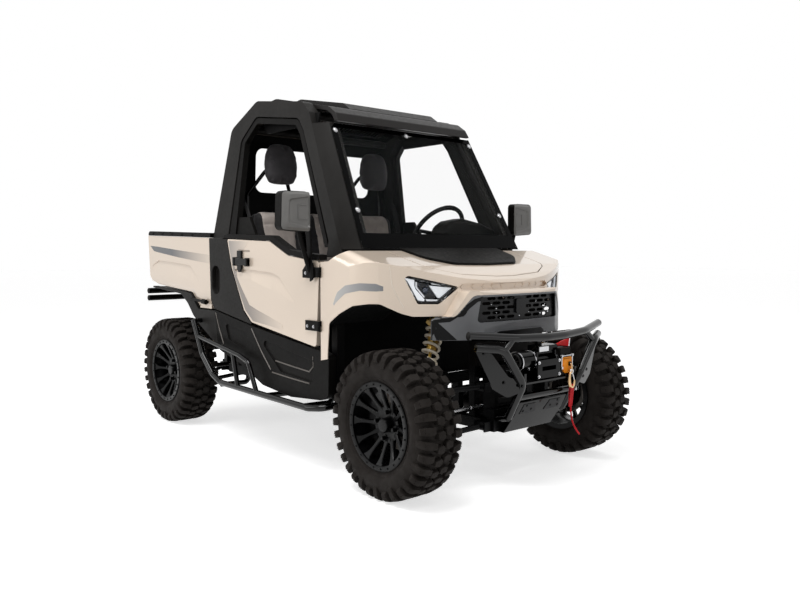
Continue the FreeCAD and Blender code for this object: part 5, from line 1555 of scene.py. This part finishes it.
def gate_ribs(bm):
    for k in range(-3, 4):
        y = k * 0.115
        for low, high in ((0.995, 1.018), (1.082, 1.105)):
            brick(bm, (-1.4135, y - 0.010, low), (-1.4085, y + 0.010, high))


pair("tail_lamp", tail_lamp, "lamp_black", "lamp_lens", "tail_gate", bevel=0.001)
for name, look, low, high in (("tail_lens", "tail_red", 1042, 1124),
                              ("tail_white", "lamp_white", 996, 1036)):
    pair(name, lambda bm, way: tail_lens(bm, way, low, high), look, "lamp_lens", "tail_gate",
         bevel=0.0015)
piece("gate_ribs", gate_ribs, "trim_black", "black_plastic", "tail_gate", bevel=0.002)


# Lamps, floor and world

def add_light(name, place, target, size, energy):
    data = bpy.data.lights.new(name, "AREA")
    data.shape = "RECTANGLE"
    data.size, data.size_y = size
    data.energy = energy
    light = linked(name, data)
    light.visible_glossy = name != "back"
    light.location = place
    light.rotation_euler = (Vector(target) - Vector(place)).to_track_quat("-Z", "Y").to_euler()


def seen_rays(tree):
    """1 for the rays that show the background: to the camera, off glossy faces and through glass."""
    path = tree.nodes.new("ShaderNodeLightPath")
    value = path.outputs["Is Camera Ray"]
    for kind in ("Is Glossy Ray", "Is Transmission Ray"):
        larger = tree.nodes.new("ShaderNodeMath")
        larger.operation = "MAXIMUM"
        tree.links.new(value, larger.inputs[0])
        tree.links.new(path.outputs[kind], larger.inputs[1])
        value = larger.outputs["Value"]
    return value


def add_stage():
    """A pale floor that adds light only for the rays that show it."""
    n = Nodes("stage_white")
    n.set(Roughness=0.9, Base_Color=(0.88, 0.88, 0.88, 1))
    glow = n.add("ShaderNodeEmission", Strength=0.65, Color=(1, 1, 1, 1))
    both = n.add("ShaderNodeAddShader")
    pick = n.add("ShaderNodeMixShader")
    n.join(n.shader.outputs["BSDF"], both.inputs[0])
    n.join(glow.outputs["Emission"], both.inputs[1])
    n.join(seen_rays(n.tree), pick.inputs["Fac"])
    n.join(n.shader.outputs["BSDF"], pick.inputs[1])
    n.join(both.outputs["Shader"], pick.inputs[2])
    n.join(pick.outputs["Shader"], n.tree.nodes["Material Output"].inputs["Surface"])
    mesh = bpy.data.meshes.new("floor")
    size = 40.0
    mesh.from_pydata([(-size, -size, 0), (size, -size, 0), (size, size, 0), (-size, size, 0)], [],
                     [(0, 1, 2, 3)])
    mesh.materials.append(n.material)
    floor = linked("floor", mesh)
    floor.location.z = -0.0005


def add_world():
    """White where it is seen, and a dimmer fill light on the object."""
    world = bpy.data.worlds.new("studio")
    scene.world = world
    world.use_nodes = True
    tree = world.node_tree
    fill = tree.nodes["Background"]
    white = tree.nodes.new("ShaderNodeBackground")
    for background, strength in ((fill, 0.32), (white, 1.0)):
        background.inputs["Color"].default_value = (1, 1, 1, 1)
        background.inputs["Strength"].default_value = strength
    pick = tree.nodes.new("ShaderNodeMixShader")
    tree.links.new(seen_rays(tree), pick.inputs["Fac"])
    tree.links.new(fill.outputs["Background"], pick.inputs[1])
    tree.links.new(white.outputs["Background"], pick.inputs[2])
    tree.links.new(pick.outputs["Shader"], tree.nodes["World Output"].inputs["Surface"])


add_light("key", (0.8, -2.0, 4.6), (0.2, 0, 0.7), (3.0, 2.0), 150)
add_light("side", (-2.4, -4.8, 2.6), (-0.6, 0, 0.8), (3.0, 1.6), 50)
add_light("nose", (5.5, 0.8, 1.8), (1.0, 0, 0.8), (2.2, 1.6), 12)
add_light("strip", (3.2, -0.8, 3.4), (1.3, 0, 0.7), (2.4, 0.14), 8)
add_light("back", (-4.0, 3.0, 3.4), (0, 0, 1.0), (3.0, 2.0), 60)
add_stage()
add_world()
scene.view_settings.view_transform = "Standard"
